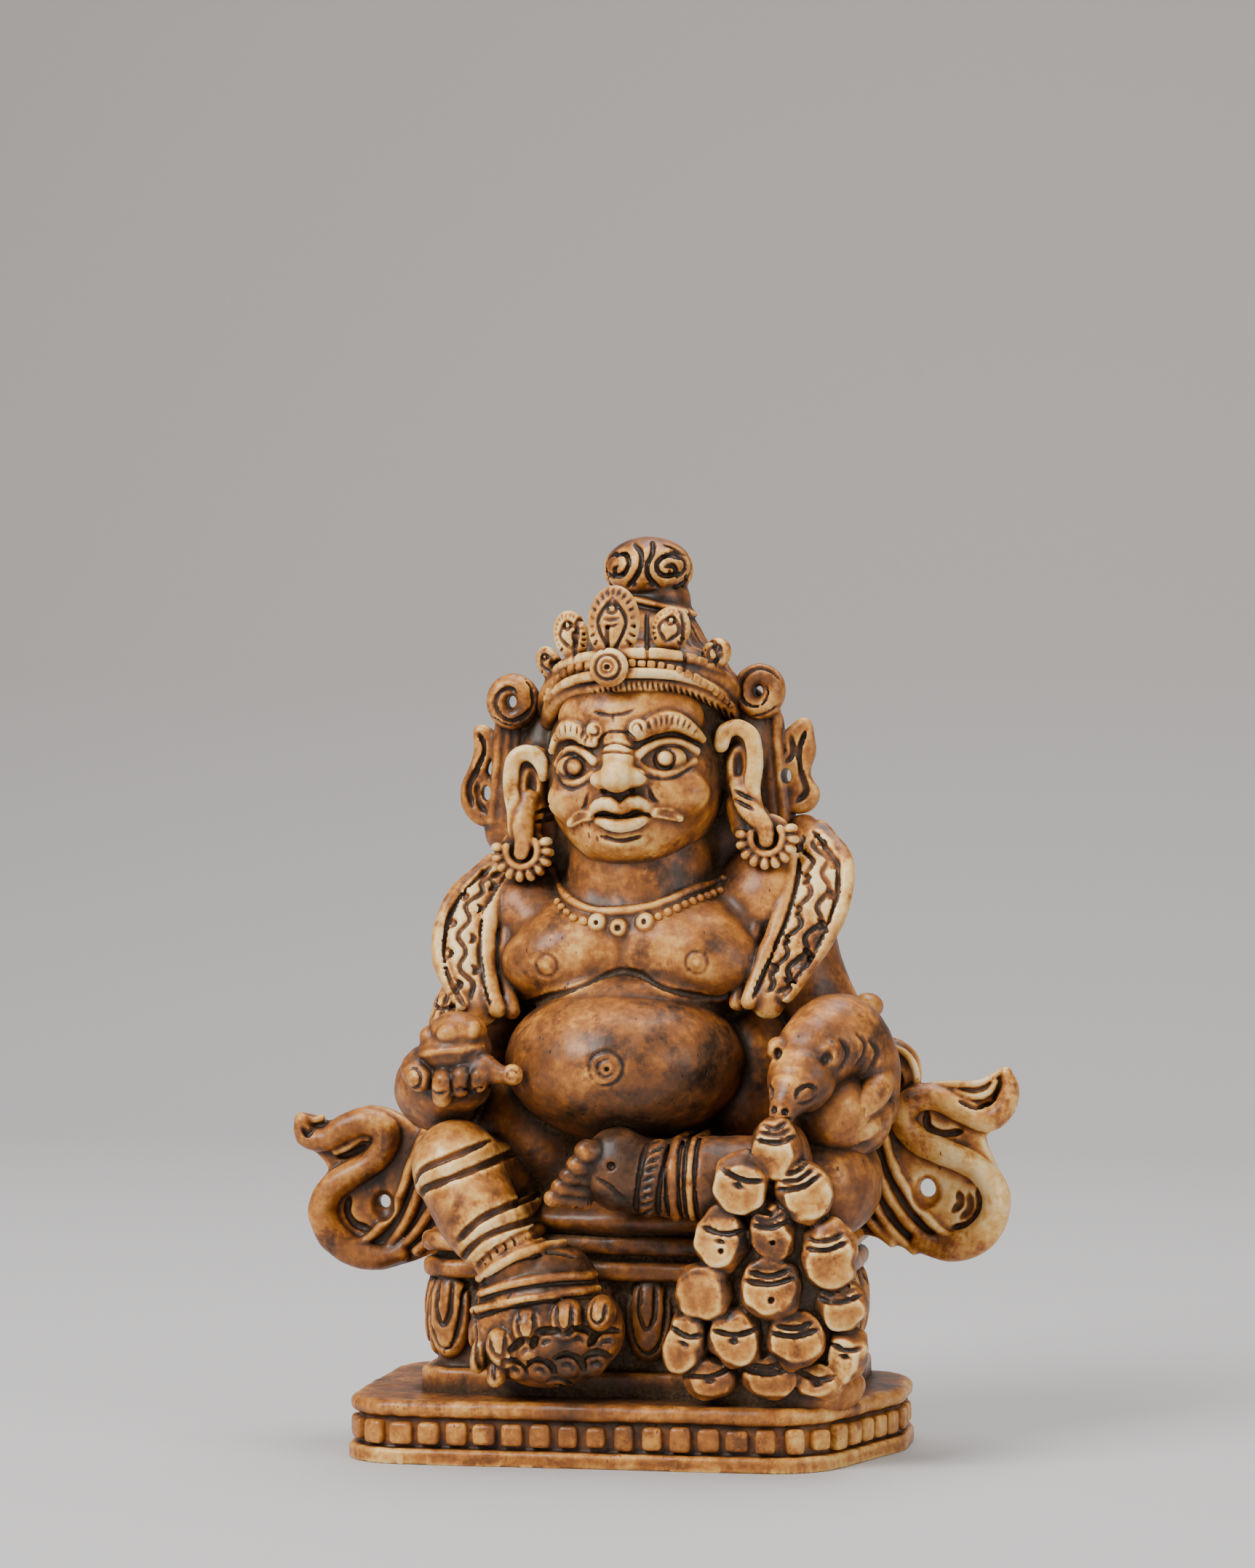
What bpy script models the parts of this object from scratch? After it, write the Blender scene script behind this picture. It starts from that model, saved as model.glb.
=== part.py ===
"""A small carved figure of a seated wealth deity on a beaded base, one solid, in metres, +Z up.

The figure faces -Y. It sits on a block throne, one foot on the base, a fruit in one hand, and under the
other a mongoose that pours a heap of jewels. The origin is the middle of the base's underside.
"""
import math

import bmesh
import bpy
from mathutils import Euler, Vector

# Driving sizes, in metres
STATUE_HEIGHT = 0.088
BASE_LEFT = 0.0258
BASE_RIGHT = 0.0264
BASE_FRONT = 0.0150
BASE_BACK = 0.0160
BASE_HEIGHT = 0.0060
BASE_CORNER = 0.0080
# The front corner under the jewels is cut away in a long sweep, the other one is nearly square.
BASE_SWEEP_WIDTH = 0.0066
BASE_SWEEP_DEPTH = 0.0170
BASE_SHARP_CORNER = 0.0060
BASE_LIP_BOTTOM = 0.0014
BASE_LIP_TOP = 0.0014
BASE_GROOVE = 0.0009
BEAD_WIDTH = 0.0018
BEAD_PITCH = 0.0027
THRONE_WIDTH = 0.0416
THRONE_DEPTH = 0.0240
THRONE_HEIGHT = 0.0150
THRONE_SHIFT = 0.0012
THRONE_SETBACK = 0.0025
THRONE_CORNER = 0.0040
PETAL_WIDTH = 0.0052

# Surface
VOXEL = 0.00034
SMOOTHING = 2
TRIANGLES = 9800
# How strongly thinning works on the face, where 1.0 is as strongly as elsewhere
FACE_THINNING = 0.994
FACE_LOW = 0.056
BONE_COLOUR = (0.52, 0.33, 0.17, 1.0)
BONE_ROUGHNESS = 0.38

# The figure's forms are written in units of a design that is 88 high, 6 of them base and 15 throne.
DESIGN_BASE, DESIGN_SEAT, DESIGN_HEIGHT = 6.0, 21.0, 88.0
SEAT_HEIGHT = BASE_HEIGHT + THRONE_HEIGHT
UNIT = (STATUE_HEIGHT - SEAT_HEIGHT) / (DESIGN_HEIGHT - DESIGN_SEAT)


def height(z):
    """The height above the ground of a design height: base, throne and figure each keep their own share."""
    if z < DESIGN_BASE:
        return z / DESIGN_BASE * BASE_HEIGHT
    if z < DESIGN_SEAT:
        return BASE_HEIGHT + (z - DESIGN_BASE) / (DESIGN_SEAT - DESIGN_BASE) * THRONE_HEIGHT
    return SEAT_HEIGHT + (z - DESIGN_SEAT) * UNIT


def place(x, y, z):
    return Vector((x * UNIT, y * UNIT, height(z)))


def clear_scene():
    for obj in list(bpy.data.objects):
        bpy.data.objects.remove(obj)


def new_object(name, data, collection):
    obj = bpy.data.objects.new(name, data)
    collection.objects.link(obj)
    return obj


def solid_from(lump, name):
    """A scene object made from a bmesh, which is freed."""
    data = bpy.data.meshes.new(name)
    lump.to_mesh(data)
    lump.free()
    return new_object(name, data, bpy.context.scene.collection)


def ball(centre, radii, turn=(0, 0, 0)):
    """An egg of three radii in design units, turned by degrees about X, Y and Z."""
    lump = bmesh.new()
    bmesh.ops.create_uvsphere(lump, u_segments=28, v_segments=16, radius=1.0)
    egg = solid_from(lump, "ball")
    egg.location = place(*centre)
    egg.scale = [r * UNIT for r in radii]
    egg.rotation_euler = Euler([math.radians(a) for a in turn])
    return egg


def limb(points, flat=1.0):
    """A round tube through (x, y, z, radius) points with round ends; flat scales its section along Y."""
    curve = bpy.data.curves.new("limb", "CURVE")
    curve.dimensions = "3D"
    curve.bevel_depth = 1.0
    curve.bevel_resolution = 3
    curve.resolution_u = 6
    curve.use_fill_caps = True
    spline = curve.splines.new("BEZIER")
    spline.bezier_points.add(len(points) - 1)
    spline.radius_interpolation = "CARDINAL"
    for knot, (x, y, z, r) in zip(spline.bezier_points, points):
        knot.co = place(x, y / flat, z)
        knot.radius = r * UNIT
        knot.handle_left_type = knot.handle_right_type = "AUTO"
    tube = new_object("limb", curve, bpy.context.scene.collection)
    tube.scale = (1.0, flat, 1.0)
    for x, y, z, r in (points[0], points[-1]):
        ball((x, y, z), (r, r * flat, r))
    return tube


def both(form, *sizes, about=0.8, **more):
    """The same ball or limb on both sides of the figure's middle plane."""
    form(*sizes, **more)
    first, rest = sizes[0], sizes[1:]
    if form is ball:
        turned = tuple(-a if i else a for i, a in enumerate(more.get("turn", (0, 0, 0))))
        ball((2 * about - first[0], *first[1:]), *rest, turn=turned)
    else:
        limb([(2 * about - p[0], *p[1:]) for p in first], **more)


def rounded(corners, steps=8):
    """The outline through (x, y, radius) corners, anticlockwise, each corner rounded by its own radius."""
    outline = []
    for i, (x, y, radius) in enumerate(corners):
        here = Vector((x, y))
        ways = [(Vector(corners[j][:2]) - here).normalized() for j in (i - 1, (i + 1) % len(corners))]
        half = ways[0].angle(ways[1]) / 2
        middle = here + (ways[0] + ways[1]).normalized() * (radius / math.sin(half))
        start = here + ways[0] * (radius / math.tan(half)) - middle
        turn = math.pi - 2 * half
        for step in range(steps + 1):
            angle = turn * step / steps
            across = start.x * math.cos(angle) - start.y * math.sin(angle)
            deep = start.x * math.sin(angle) + start.y * math.cos(angle)
            outline.append((middle.x + across, middle.y + deep))
    return outline


def base_outline(inset=0.0):
    """The outline of the base, drawn in by inset."""
    left, right = -BASE_LEFT + inset, BASE_RIGHT - inset
    front, back = -BASE_FRONT + inset, BASE_BACK - inset
    corners = (
        (left, front, BASE_SHARP_CORNER),
        (right - BASE_SWEEP_WIDTH, front, BASE_CORNER),
        (right, front + BASE_SWEEP_DEPTH, BASE_CORNER),
        (right, back, BASE_CORNER),
        (left, back, BASE_CORNER),
    )
    return rounded(corners)


def throne_outline(inset=0.0):
    """The outline of the throne, drawn in by inset."""
    across, deep = THRONE_WIDTH / 2 - inset, THRONE_DEPTH / 2 - inset
    corners = [(x * across, y * deep, THRONE_CORNER) for x, y in ((-1, -1), (1, -1), (1, 1), (-1, 1))]
    return [(x + THRONE_SHIFT, y + THRONE_SETBACK) for x, y in rounded(corners)]


def slab(outline, low, high, edge=0.0):
    """A plate of the given outline between two heights, with its edge rounded by edge."""
    curve = bpy.data.curves.new("slab", "CURVE")
    curve.dimensions = "2D"
    curve.fill_mode = "BOTH"
    curve.extrude = (high - low) / 2 - edge
    curve.bevel_depth = edge
    curve.bevel_resolution = 2
    curve.offset = -edge
    spline = curve.splines.new("POLY")
    spline.points.add(len(outline) - 1)
    for point, (px, py) in zip(spline.points, outline):
        point.co = (px, py, 0.0, 1.0)
    spline.use_cyclic_u = True
    plate = new_object("slab", curve, bpy.context.scene.collection)
    plate.location = (0.0, 0.0, (low + high) / 2)
    return plate


def stations(outline, pitch):
    """Evenly spaced (x, y, angle) places on an outline, as near to pitch apart as fits."""
    closed = outline + outline[:1]
    spans = [math.dist(a, b) for a, b in zip(closed, closed[1:])]
    count = round(sum(spans) / pitch)
    places = []
    for i in range(count):
        reach = sum(spans) * i / count
        for (ax, ay), (bx, by), span in zip(closed, closed[1:], spans):
            if reach <= span and span > 0.0:
                t = reach / span
                places.append((ax + (bx - ax) * t, ay + (by - ay) * t, math.atan2(by - ay, bx - ax)))
                break
            reach -= span
    return places


def base():
    """The base plate: a thin lip below, a row of square beads in a groove, and a rounded lip on top."""
    slab(base_outline(), 0.0, BASE_LIP_BOTTOM)
    slab(base_outline(BASE_GROOVE), 0.0, BASE_HEIGHT)
    slab(base_outline(BASE_LIP_TOP * 0.2), BASE_HEIGHT - BASE_LIP_TOP, BASE_HEIGHT, edge=BASE_LIP_TOP * 0.3)
    row_height = BASE_HEIGHT - BASE_LIP_TOP - BASE_LIP_BOTTOM
    for x, y, angle in stations(base_outline(BASE_GROOVE), BEAD_PITCH):
        lump = bmesh.new()
        bmesh.ops.create_cube(lump, size=1.0)
        bead = solid_from(lump, "bead")
        bead.location = (x, y, BASE_LIP_BOTTOM + row_height / 2)
        bead.rotation_euler = (0, 0, angle)
        bead.scale = (BEAD_WIDTH, 2 * BASE_GROOVE, row_height * 0.8)


def throne():
    """The block throne: a plinth, a waist with a row of hanging petals, and two thin mouldings."""
    steps = (
        # share of the throne's height below and above, and how far the step stands back
        (0.00, 0.16, 0.0000),
        (0.16, 0.72, 0.0014),
        (0.24, 0.64, 0.0008),
        (0.72, 0.84, 0.0002),
        (0.84, 0.92, 0.0011),
        (0.90, 1.00, 0.0004),
    )
    for low, high, back in steps:
        slab(
            throne_outline(back),
            BASE_HEIGHT + low * THRONE_HEIGHT - UNIT * 0.3,
            BASE_HEIGHT + high * THRONE_HEIGHT,
        )
    for x, y, angle in stations(throne_outline(0.0012), PETAL_WIDTH):
        lump = bmesh.new()
        bmesh.ops.create_uvsphere(lump, u_segments=16, v_segments=10, radius=1.0)
        petal = solid_from(lump, "petal")
        petal.location = (x, y, BASE_HEIGHT + 0.46 * THRONE_HEIGHT)
        petal.rotation_euler = (0, 0, angle)
        petal.scale = (PETAL_WIDTH * 0.44, 0.0011, THRONE_HEIGHT * 0.27)


def torso():
    """Hips on the seat, round belly, breast, shoulders, back and neck."""
    ball((1.2, 3.5, 26.5), (19.0, 11.0, 7.5))
    ball((0.5, -5.0, 25.0), (15.5, 9.5, 4.6))
    ball((0.4, -5.6, 37.7), (12.3, 11.2, 7.7))
    ball((1.0, -0.5, 47.5), (12.6, 9.0, 8.5))
    ball((1.0, 4.0, 41.0), (13.8, 8.0, 16.0))
    ball((-5.6, -5.4, 48.0), (6.6, 5.4, 4.8), turn=(0, -8, 0))
    ball((7.2, -5.4, 48.2), (6.9, 5.4, 4.9), turn=(0, 8, 0))
    ball((-9.8, 1.0, 51.0), (5.6, 6.4, 5.6))
    ball((13.6, 1.0, 52.6), (6.0, 6.4, 6.2))
    limb([(1.0, 0.0, 51.0, 8.0), (1.0, -0.5, 58.0, 7.2)])
    limb([(-8.6, 2.4, 60.4, 3.4), (1.0, 4.0, 57.0, 6.4), (11.4, 2.4, 61.0, 3.6)])


def fruit_arm():
    """The arm with the fruit: it bends at the side and rests its fist on the knee."""
    limb([(-11.0, 2.0, 49.6, 4.5), (-13.8, 1.5, 42.0, 4.4), (-17.4, -0.5, 35.2, 4.5)])
    limb([(-17.6, -0.5, 35.0, 4.5), (-17.2, -7.5, 35.2, 4.1), (-14.8, -11.5, 36.4, 3.7)])
    ball((-16.8, -3.4, 42.6), (3.2, 2.2, 1.3))
    for finger in range(4):
        x = -15.0 + 1.9 * finger
        limb([(x, -13.4, 38.4, 0.9), (x + 0.2, -15.6, 36.8, 0.95), (x + 0.3, -14.4, 34.9, 0.8)])
    limb([(-17.6, -12.0, 37.6, 1.4), (-18.2, -14.6, 36.4, 1.5)])
    ball((-14.4, -12.4, 40.4), (3.5, 3.4, 3.0))
    limb([(-10.8, -13.6, 37.2, 1.6), (-8.9, -14.4, 36.8, 0.9)])
    ball((-8.4, -14.5, 36.8), (0.9, 0.9, 0.9))


def mongoose_arm():
    """The other arm, with the mongoose lying over the hand, its head hanging down."""
    limb([(14.4, 2.0, 50.6, 4.8), (16.2, 2.5, 44.5, 4.3), (19.4, 1.5, 38.0, 4.3)])
    limb([(19.6, 1.5, 37.6, 4.3), (20.8, -5.0, 34.5, 4.3), (20.6, -10.0, 33.4, 4.1)])
    ball((23.0, -0.5, 42.8), (1.3, 1.8, 1.3))
    back = [(22.6, -6.0, 36.6, 4.0), (21.0, -8.5, 39.8, 4.6), (19.2, -11.8, 39.6, 4.4)]
    neck = (18.0, -14.6, 36.8, 3.4)
    nose = (17.2, -16.4, 34.6, 2.0)
    limb([*back, neck])
    limb([(*neck[:3], 3.3), nose])
    ball((15.8, -13.8, 39.6), (1.2, 1.2, 1.5))
    ball((20.0, -14.6, 39.4), (1.3, 1.2, 1.6))
    ball((23.4, -8.5, 36.0), (2.8, 3.4, 3.6))


def jewels():
    """The heap of jewels: strands that fan out below the mongoose's mouth and end on the base."""
    limb([(17.0, -13.2, 29.6, 3.0), (16.6, -12.0, 19.0, 6.4), (15.6, -10.6, 10.0, 8.0)], flat=0.6)
    ball((15.6, -8.8, 7.6), (9.0, 5.6, 4.0))
    strands = (
        [(16.8, -16.8, 30.4), (19.4, -15.8, 26.4), (21.6, -15.0, 21.4)],
        [(22.2, -14.2, 16.2), (22.6, -13.2, 11.2)],
        [(13.2, -16.0, 27.2), (11.0, -15.2, 21.9), (10.0, -14.6, 17.0), (7.9, -13.6, 12.3)],
        [(16.2, -16.2, 23.0), (16.2, -15.8, 17.6), (12.5, -14.6, 12.4), (18.5, -14.6, 12.4)],
        [(10.8, -12.8, 8.3), (15.4, -13.0, 8.0), (19.4, -12.8, 8.3)],
    )
    for strand in strands:
        for x, y, z in strand:
            ball((x, y, z), (2.1, 1.9, 2.4))


def legs():
    """One leg hangs with its foot on a small lotus on the base, the other lies folded on the seat."""
    limb([(-9.0, 2.0, 27.0, 7.0), (-13.4, -8.0, 28.0, 5.4), (-14.6, -13.0, 27.6, 4.6)])
    limb([(-14.6, -13.0, 27.6, 4.4), (-11.6, -14.6, 23.0, 3.9), (-8.8, -14.4, 19.4, 3.0)])
    for x, y, z, r in ((-13.0, -13.8, 25.4, 4.4), (-10.2, -14.4, 21.2, 3.9)):
        limb([(x - 3.6, y, z - 1.9, 0.9), (x, y - r + 0.6, z + 0.3, 0.9), (x + 3.6, y, z + 1.9, 0.9)])
    ball((-6.4, -13.4, 16.2), (6.6, 4.6, 3.4), turn=(0, -14, 0))
    ball((-5.8, -13.6, 12.6), (6.4, 4.8, 3.4), turn=(0, -10, 0))
    for toe in range(5):
        ball((-10.4 + 2.5 * toe, -17.2 + 0.25 * (toe - 2) ** 2, 13.0 + 0.55 * toe), (1.3, 1.5, 1.5))
    ball((-5.0, -11.0, 8.6), (6.6, 5.2, 3.4))
    limb([(12.0, 4.0, 27.0, 7.4), (18.6, -3.0, 26.6, 6.2), (20.2, -8.6, 26.4, 5.2)])
    shin = [(20.0, -9.0, 26.4, 5.0), (11.0, -12.6, 27.0, 4.2), (4.6, -13.4, 27.0, 3.6), (1.4, -14.0, 27.6, 3.8)]
    limb(shin)
    for x in (4.8, 7.4):
        limb([(x, -13.2, 23.4, 0.8), (x + 0.4, -17.0, 27.2, 0.8), (x + 0.2, -13.2, 30.8, 0.8)])
    ball((-0.6, -15.0, 28.4), (2.8, 2.8, 3.2))
    toes = ((-1.0, 30.2, 1.7), (-2.6, 28.6, 1.2), (-3.6, 27.2, 1.1), (-4.4, 25.9, 1.05), (-5.0, 24.7, 1.0))
    for x, z, r in toes:
        limb([(x + 1.8, -15.0, z - 0.4, r), (x, -16.6, z, r)])


def shoulder_scarf():
    """The broad scarf that lies on both shoulders, with a raised rim on each side of either panel."""
    right = [(-12.2, -1.0, 55.8), (-13.2, -4.2, 52.4), (-13.8, -6.0, 48.4), (-13.2, -7.4, 44.4)]
    right += [(-11.6, -8.2, 41.0)]
    left = [(16.4, 0.0, 59.4), (18.2, -2.8, 55.6), (17.4, -5.4, 50.8), (15.8, -6.8, 46.6)]
    left += [(14.4, -7.8, 42.8)]
    widths = (1.6, 2.5, 2.8, 2.4, 1.4)
    for side, middle in ((-1, right), (1, left)):
        limb([(*p, w) for p, w in zip(middle, widths)], flat=0.5)
        limb([(x + side * w, y + 0.2, z + 0.4, 0.8) for (x, y, z), w in zip(middle, widths)])
        limb([(x - side * w, y - 0.2, z - 0.4, 0.7) for (x, y, z), w in zip(middle, widths)])
    limb([(-11.0, 3.6, 54.4, 3.0), (1.0, 7.5, 56.0, 3.2), (15.6, 4.0, 56.4, 3.0)])


def head():
    """Head and face: heavy brows, round eyes, a broad nose and thick lips with the ends of a moustache."""
    ball((0.9, 0.5, 67.0), (9.2, 9.4, 9.6))
    ball((0.8, -3.0, 63.6), (8.5, 7.8, 7.9))
    ball((0.7, -6.4, 59.2), (5.0, 3.8, 3.0))
    ball((0.8, -7.0, 69.4), (6.0, 3.6, 3.0))
    brow = [(-0.4, -10.8, 69.0, 0.8), (-2.0, -10.6, 69.9, 0.9), (-4.4, -9.6, 70.2, 1.0)]
    both(limb, [*brow, (-6.8, -7.0, 68.4, 0.8)])
    both(ball, (-4.1, -8.9, 66.0), (1.5, 1.7, 1.2))
    both(limb, [(-1.4, -9.8, 66.6, 0.5), (-3.9, -10.0, 67.6, 0.6), (-6.4, -7.8, 66.6, 0.5)])
    both(limb, [(-1.6, -9.6, 65.2, 0.5), (-3.9, -9.8, 64.3, 0.6), (-6.4, -7.8, 65.4, 0.5)])
    both(ball, (-4.8, -7.2, 62.4), (2.8, 2.6, 2.6))
    limb([(0.7, -10.6, 68.0, 1.2), (0.7, -11.8, 65.6, 1.4), (0.7, -12.2, 64.4, 1.7)])
    both(ball, (-1.3, -11.0, 64.2), (1.2, 1.2, 0.9))
    both(limb, [(0.8, -11.2, 62.0, 1.0), (-1.0, -11.2, 62.3, 1.0), (-2.9, -10.0, 61.0, 0.6)])
    limb([(-1.6, -10.4, 60.0, 0.7), (0.8, -11.2, 59.8, 1.1), (3.2, -10.4, 60.0, 0.7)])
    both(limb, [(-3.2, -9.4, 61.2, 0.6), (-5.4, -8.2, 60.8, 0.7)])


def ears():
    """Long pierced ears with flower rings that rest on the shoulders."""
    right = [(-8.3, 65.4), (-8.7, 66.7), (-9.9, 67.0), (-10.7, 65.8), (-10.7, 63.4), (-10.2, 60.8)]
    right += [(-10.8, 58.0)]
    left = [(9.9, 67.4), (10.1, 68.8), (11.4, 69.0), (12.3, 67.6), (12.2, 64.8), (12.2, 61.8)]
    left += [(13.7, 58.6)]
    ring_middles = {-1: (-10.2, 57.6), 1: (14.2, 58.9)}
    for side, outline in ((-1, right), (1, left)):
        limb([(x, -3.4 - 0.2 * i, z, 0.85 + 0.05 * i) for i, (x, z) in enumerate(outline)])
        ball((outline[3][0] - side * 1.4, -1.8, 64.2), (2.0, 1.6, 3.6))
        limb([(outline[5][0] - side * 1.2, -2.6, 62.0, 1.4), (outline[6][0] - side * 0.8, -3.2, 59.6, 1.2)])
        mx, mz = ring_middles[side]
        turn = [math.radians(150 + 24 * i) for i in range(11)]
        limb([(mx + 2.0 * math.cos(a), -4.6, mz + 2.0 * math.sin(a), 0.7) for a in turn])
        for angle in turn[1::2]:
            ball((mx + 3.0 * math.cos(angle), -4.2, mz + 3.0 * math.sin(angle)), (0.95, 1.2, 0.95))


def crown():
    """The crown: two rolls with a beaded hollow between, five leaves, a round jewel, hair and its knot."""
    arch = [(-9.4, -0.5, 70.2), (-8.2, -5.6, 72.6), (-4.6, -8.8, 74.6), (0.6, -10.0, 75.2)]
    arch += [(5.8, -8.8, 74.8), (9.6, -5.6, 72.8), (11.0, -0.5, 70.4)]
    limb([(x, y + 0.8, z, 1.5) for x, y, z in arch])
    limb([(x, y - 0.3, z + 1.2, 0.75) for x, y, z in arch])
    limb([(x, y - 0.5, z - 1.2, 0.75) for x, y, z in arch])
    ball((1.0, 1.0, 72.6), (9.6, 9.2, 6.6))
    ball((-0.3, -10.7, 75.1), (1.8, 1.3, 1.8))
    leaves = (
        ((-0.3, -8.8, 79.4), (2.5, 1.4, 3.8), 0),
        ((-4.8, -7.4, 78.2), (1.7, 1.3, 2.5), -12),
        ((4.9, -7.2, 78.4), (1.9, 1.3, 2.3), 12),
        ((-7.6, -4.4, 75.6), (1.2, 1.4, 1.7), -25),
        ((8.6, -4.4, 76.2), (1.5, 1.4, 1.6), 30),
    )
    for middle, radii, lean in leaves:
        ball(middle, radii, turn=(-8, lean, 0))
    limb([(1.4, 1.0, 76.0, 6.0), (2.2, 1.0, 78.6, 3.9), (2.4, 1.0, 81.6, 3.2)])
    ball((2.3, 1.0, 81.2), (3.9, 3.7, 0.8), turn=(0, 14, 0))
    ball((1.35, 1.0, 84.9), (4.4, 4.3, 3.15))


def crown_ribbons():
    """The ribbon that ties the crown: a pierced roll over each ear and an end that flutters beside it."""
    right_roll = [(-8.8, 73.0), (-10.6, 74.1), (-12.3, 73.6), (-13.2, 71.8), (-12.4, 70.0), (-10.8, 69.5)]
    right_roll += [(-9.6, 70.8)]
    left_roll = [(9.6, 73.4), (11.4, 74.7), (13.4, 74.5), (14.5, 72.8), (14.0, 71.2), (12.6, 70.4)]
    left_roll += [(10.8, 71.4)]
    for loop in (right_roll, left_roll):
        limb([(x, -0.8, z, 1.0) for x, z in loop], flat=1.7)
    right_end = [(-15.5, 69.2, 0.9), (-15.3, 67.0, 0.9), (-16.3, 64.6, 0.9), (-16.3, 62.0, 1.0)]
    right_end += [(-14.8, 60.6, 1.0)]
    left_end = [(17.0, 69.8, 1.0), (16.6, 67.6, 1.0), (17.3, 65.2, 1.0), (17.1, 63.2, 1.0)]
    left_end += [(15.6, 62.6, 1.0)]
    limb([(x, 0.8, z, r) for x, z, r in right_end], flat=1.5)
    limb([(x, 0.8, z, r) for x, z, r in left_end], flat=1.5)
    limb([(-12.2, 0.6, 69.6, 1.1), (-13.2, 0.6, 65.0, 1.0), (-14.2, 0.6, 60.8, 0.9)], flat=1.4)
    limb([(12.8, 0.6, 70.4, 1.2), (13.4, 0.6, 66.4, 1.1), (14.8, 0.6, 62.8, 1.0)], flat=1.4)
    limb([(-14.6, 1.0, 68.6, 0.7), (-14.4, 1.0, 66.4, 0.8)])
    limb([(15.6, 1.0, 69.0, 0.8), (15.4, 1.0, 67.0, 0.9)])
    limb([(-11.2, 1.0, 69.0, 2.0), (-11.4, 1.5, 59.0, 2.6)])
    limb([(12.4, 1.0, 69.0, 2.2), (13.0, 1.5, 60.0, 2.8)])


def scarf_ends():
    """The two ends of the long scarf that curl out beside the throne like flames."""
    right = [(-24.4, 18.9), (-27.8, 16.7), (-31.0, 17.6), (-32.7, 20.3), (-32.6, 23.0), (-30.6, 25.2)]
    right += [(-28.0, 27.0), (-26.3, 28.9), (-27.2, 30.7), (-29.8, 30.4), (-32.4, 29.4), (-34.2, 30.0)]
    left = [(30.0, 19.6), (33.4, 20.6), (34.8, 23.2), (34.7, 25.8), (32.8, 27.8), (29.8, 28.8)]
    left += [(27.6, 30.2), (27.4, 32.4), (29.6, 33.4), (32.2, 32.4), (34.4, 32.0), (35.6, 33.4)]
    left += [(35.4, 35.6)]
    limb([(x, 4.0, z, 1.35) for x, z in right], flat=1.2)
    limb([(x, 5.0, z, 1.4) for x, z in left], flat=1.2)
    limb([(-17.0, 5.0, 31.0, 2.4), (-21.0, 4.6, 23.8, 2.8), (-25.4, 4.2, 18.6, 2.0)], flat=0.9)
    limb([(-19.0, 5.0, 33.0, 2.0), (-22.6, 4.8, 28.6, 2.4), (-24.8, 4.6, 24.0, 1.4)], flat=0.8)
    fall = [(21.0, 5.0, 35.0, 2.6), (22.4, 5.0, 28.6, 3.0), (26.0, 5.0, 22.4, 2.6), (30.6, 5.0, 19.6, 1.4)]
    limb(fall, flat=0.9)
    limb([(22.6, 5.4, 34.0, 2.4), (25.4, 5.2, 30.0, 2.2), (27.4, 5.0, 26.6, 1.6)], flat=0.8)
    ball((-28.8, 4.8, 21.6), (4.3, 1.0, 4.4))
    ball((-29.6, 4.8, 28.2), (3.8, 1.0, 2.0), turn=(0, 10, 0))
    ball((31.0, 5.8, 24.0), (4.4, 1.0, 4.0))
    ball((30.6, 5.8, 31.0), (4.2, 1.0, 2.0), turn=(0, 10, 0))
    ball((24.0, 7.0, 35.6), (3.2, 1.5, 3.0))


def necklace():
    """A string of beads round the neck, with three larger ones on the breast."""
    string = [(-7.6, -4.6, 54.4), (-5.8, -6.8, 52.2), (-2.8, -8.6, 50.8), (0.2, -9.4, 50.2)]
    string += [(3.2, -8.8, 51.0), (6.6, -7.2, 52.8), (9.6, -4.6, 54.8)]
    limb([(x, y, z, 0.75) for x, y, z in string])
    for x, y, z in string[2:5]:
        ball((x, y - 0.6, z - 0.6), (1.05, 0.9, 1.05))


def carve_together(name):
    """Puts the faces of every form into one mesh of triangles and removes the forms."""
    graph = bpy.context.evaluated_depsgraph_get()
    lump = bmesh.new()
    for obj in list(bpy.context.scene.objects):
        mesh = bpy.data.meshes.new_from_object(obj.evaluated_get(graph))
        mesh.transform(obj.matrix_world)
        lump.from_mesh(mesh)
        bpy.data.meshes.remove(mesh)
        bpy.data.objects.remove(obj)
    bmesh.ops.remove_doubles(lump, verts=lump.verts, dist=1e-6)
    bmesh.ops.triangulate(lump, faces=lump.faces)
    data = bpy.data.meshes.new(name)
    lump.to_mesh(data)
    lump.free()
    return data


def largest_shell(data):
    """Drops the small closed pockets that a heap of forms leaves inside the skin."""
    skin = bmesh.new()
    skin.from_mesh(data)
    unseen = set(skin.verts)
    shells = []
    while unseen:
        front = [unseen.pop()]
        shell = set(front)
        while front:
            for edge in front.pop().link_edges:
                for vert in edge.verts:
                    if vert in unseen:
                        unseen.discard(vert)
                        shell.add(vert)
                        front.append(vert)
        shells.append(shell)
    keep = max(shells, key=len)
    bmesh.ops.delete(skin, geom=[v for v in skin.verts if v not in keep], context="VERTS")
    skin.to_mesh(data)
    skin.free()


def baked(obj):
    """The object's mesh with its modifiers applied."""
    bpy.context.view_layer.update()
    graph = bpy.context.evaluated_depsgraph_get()
    data = bpy.data.meshes.new_from_object(obj.evaluated_get(graph))
    obj.modifiers.clear()
    obj.data = data
    return data


def bone_material():
    material = bpy.data.materials.new("carved_bone")
    material.use_nodes = True
    shader = material.node_tree.nodes["Principled BSDF"]
    shader.inputs["Base Color"].default_value = BONE_COLOUR
    shader.inputs["Roughness"].default_value = BONE_ROUGHNESS
    shader.inputs["Metallic"].default_value = 0.0
    return material


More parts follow.
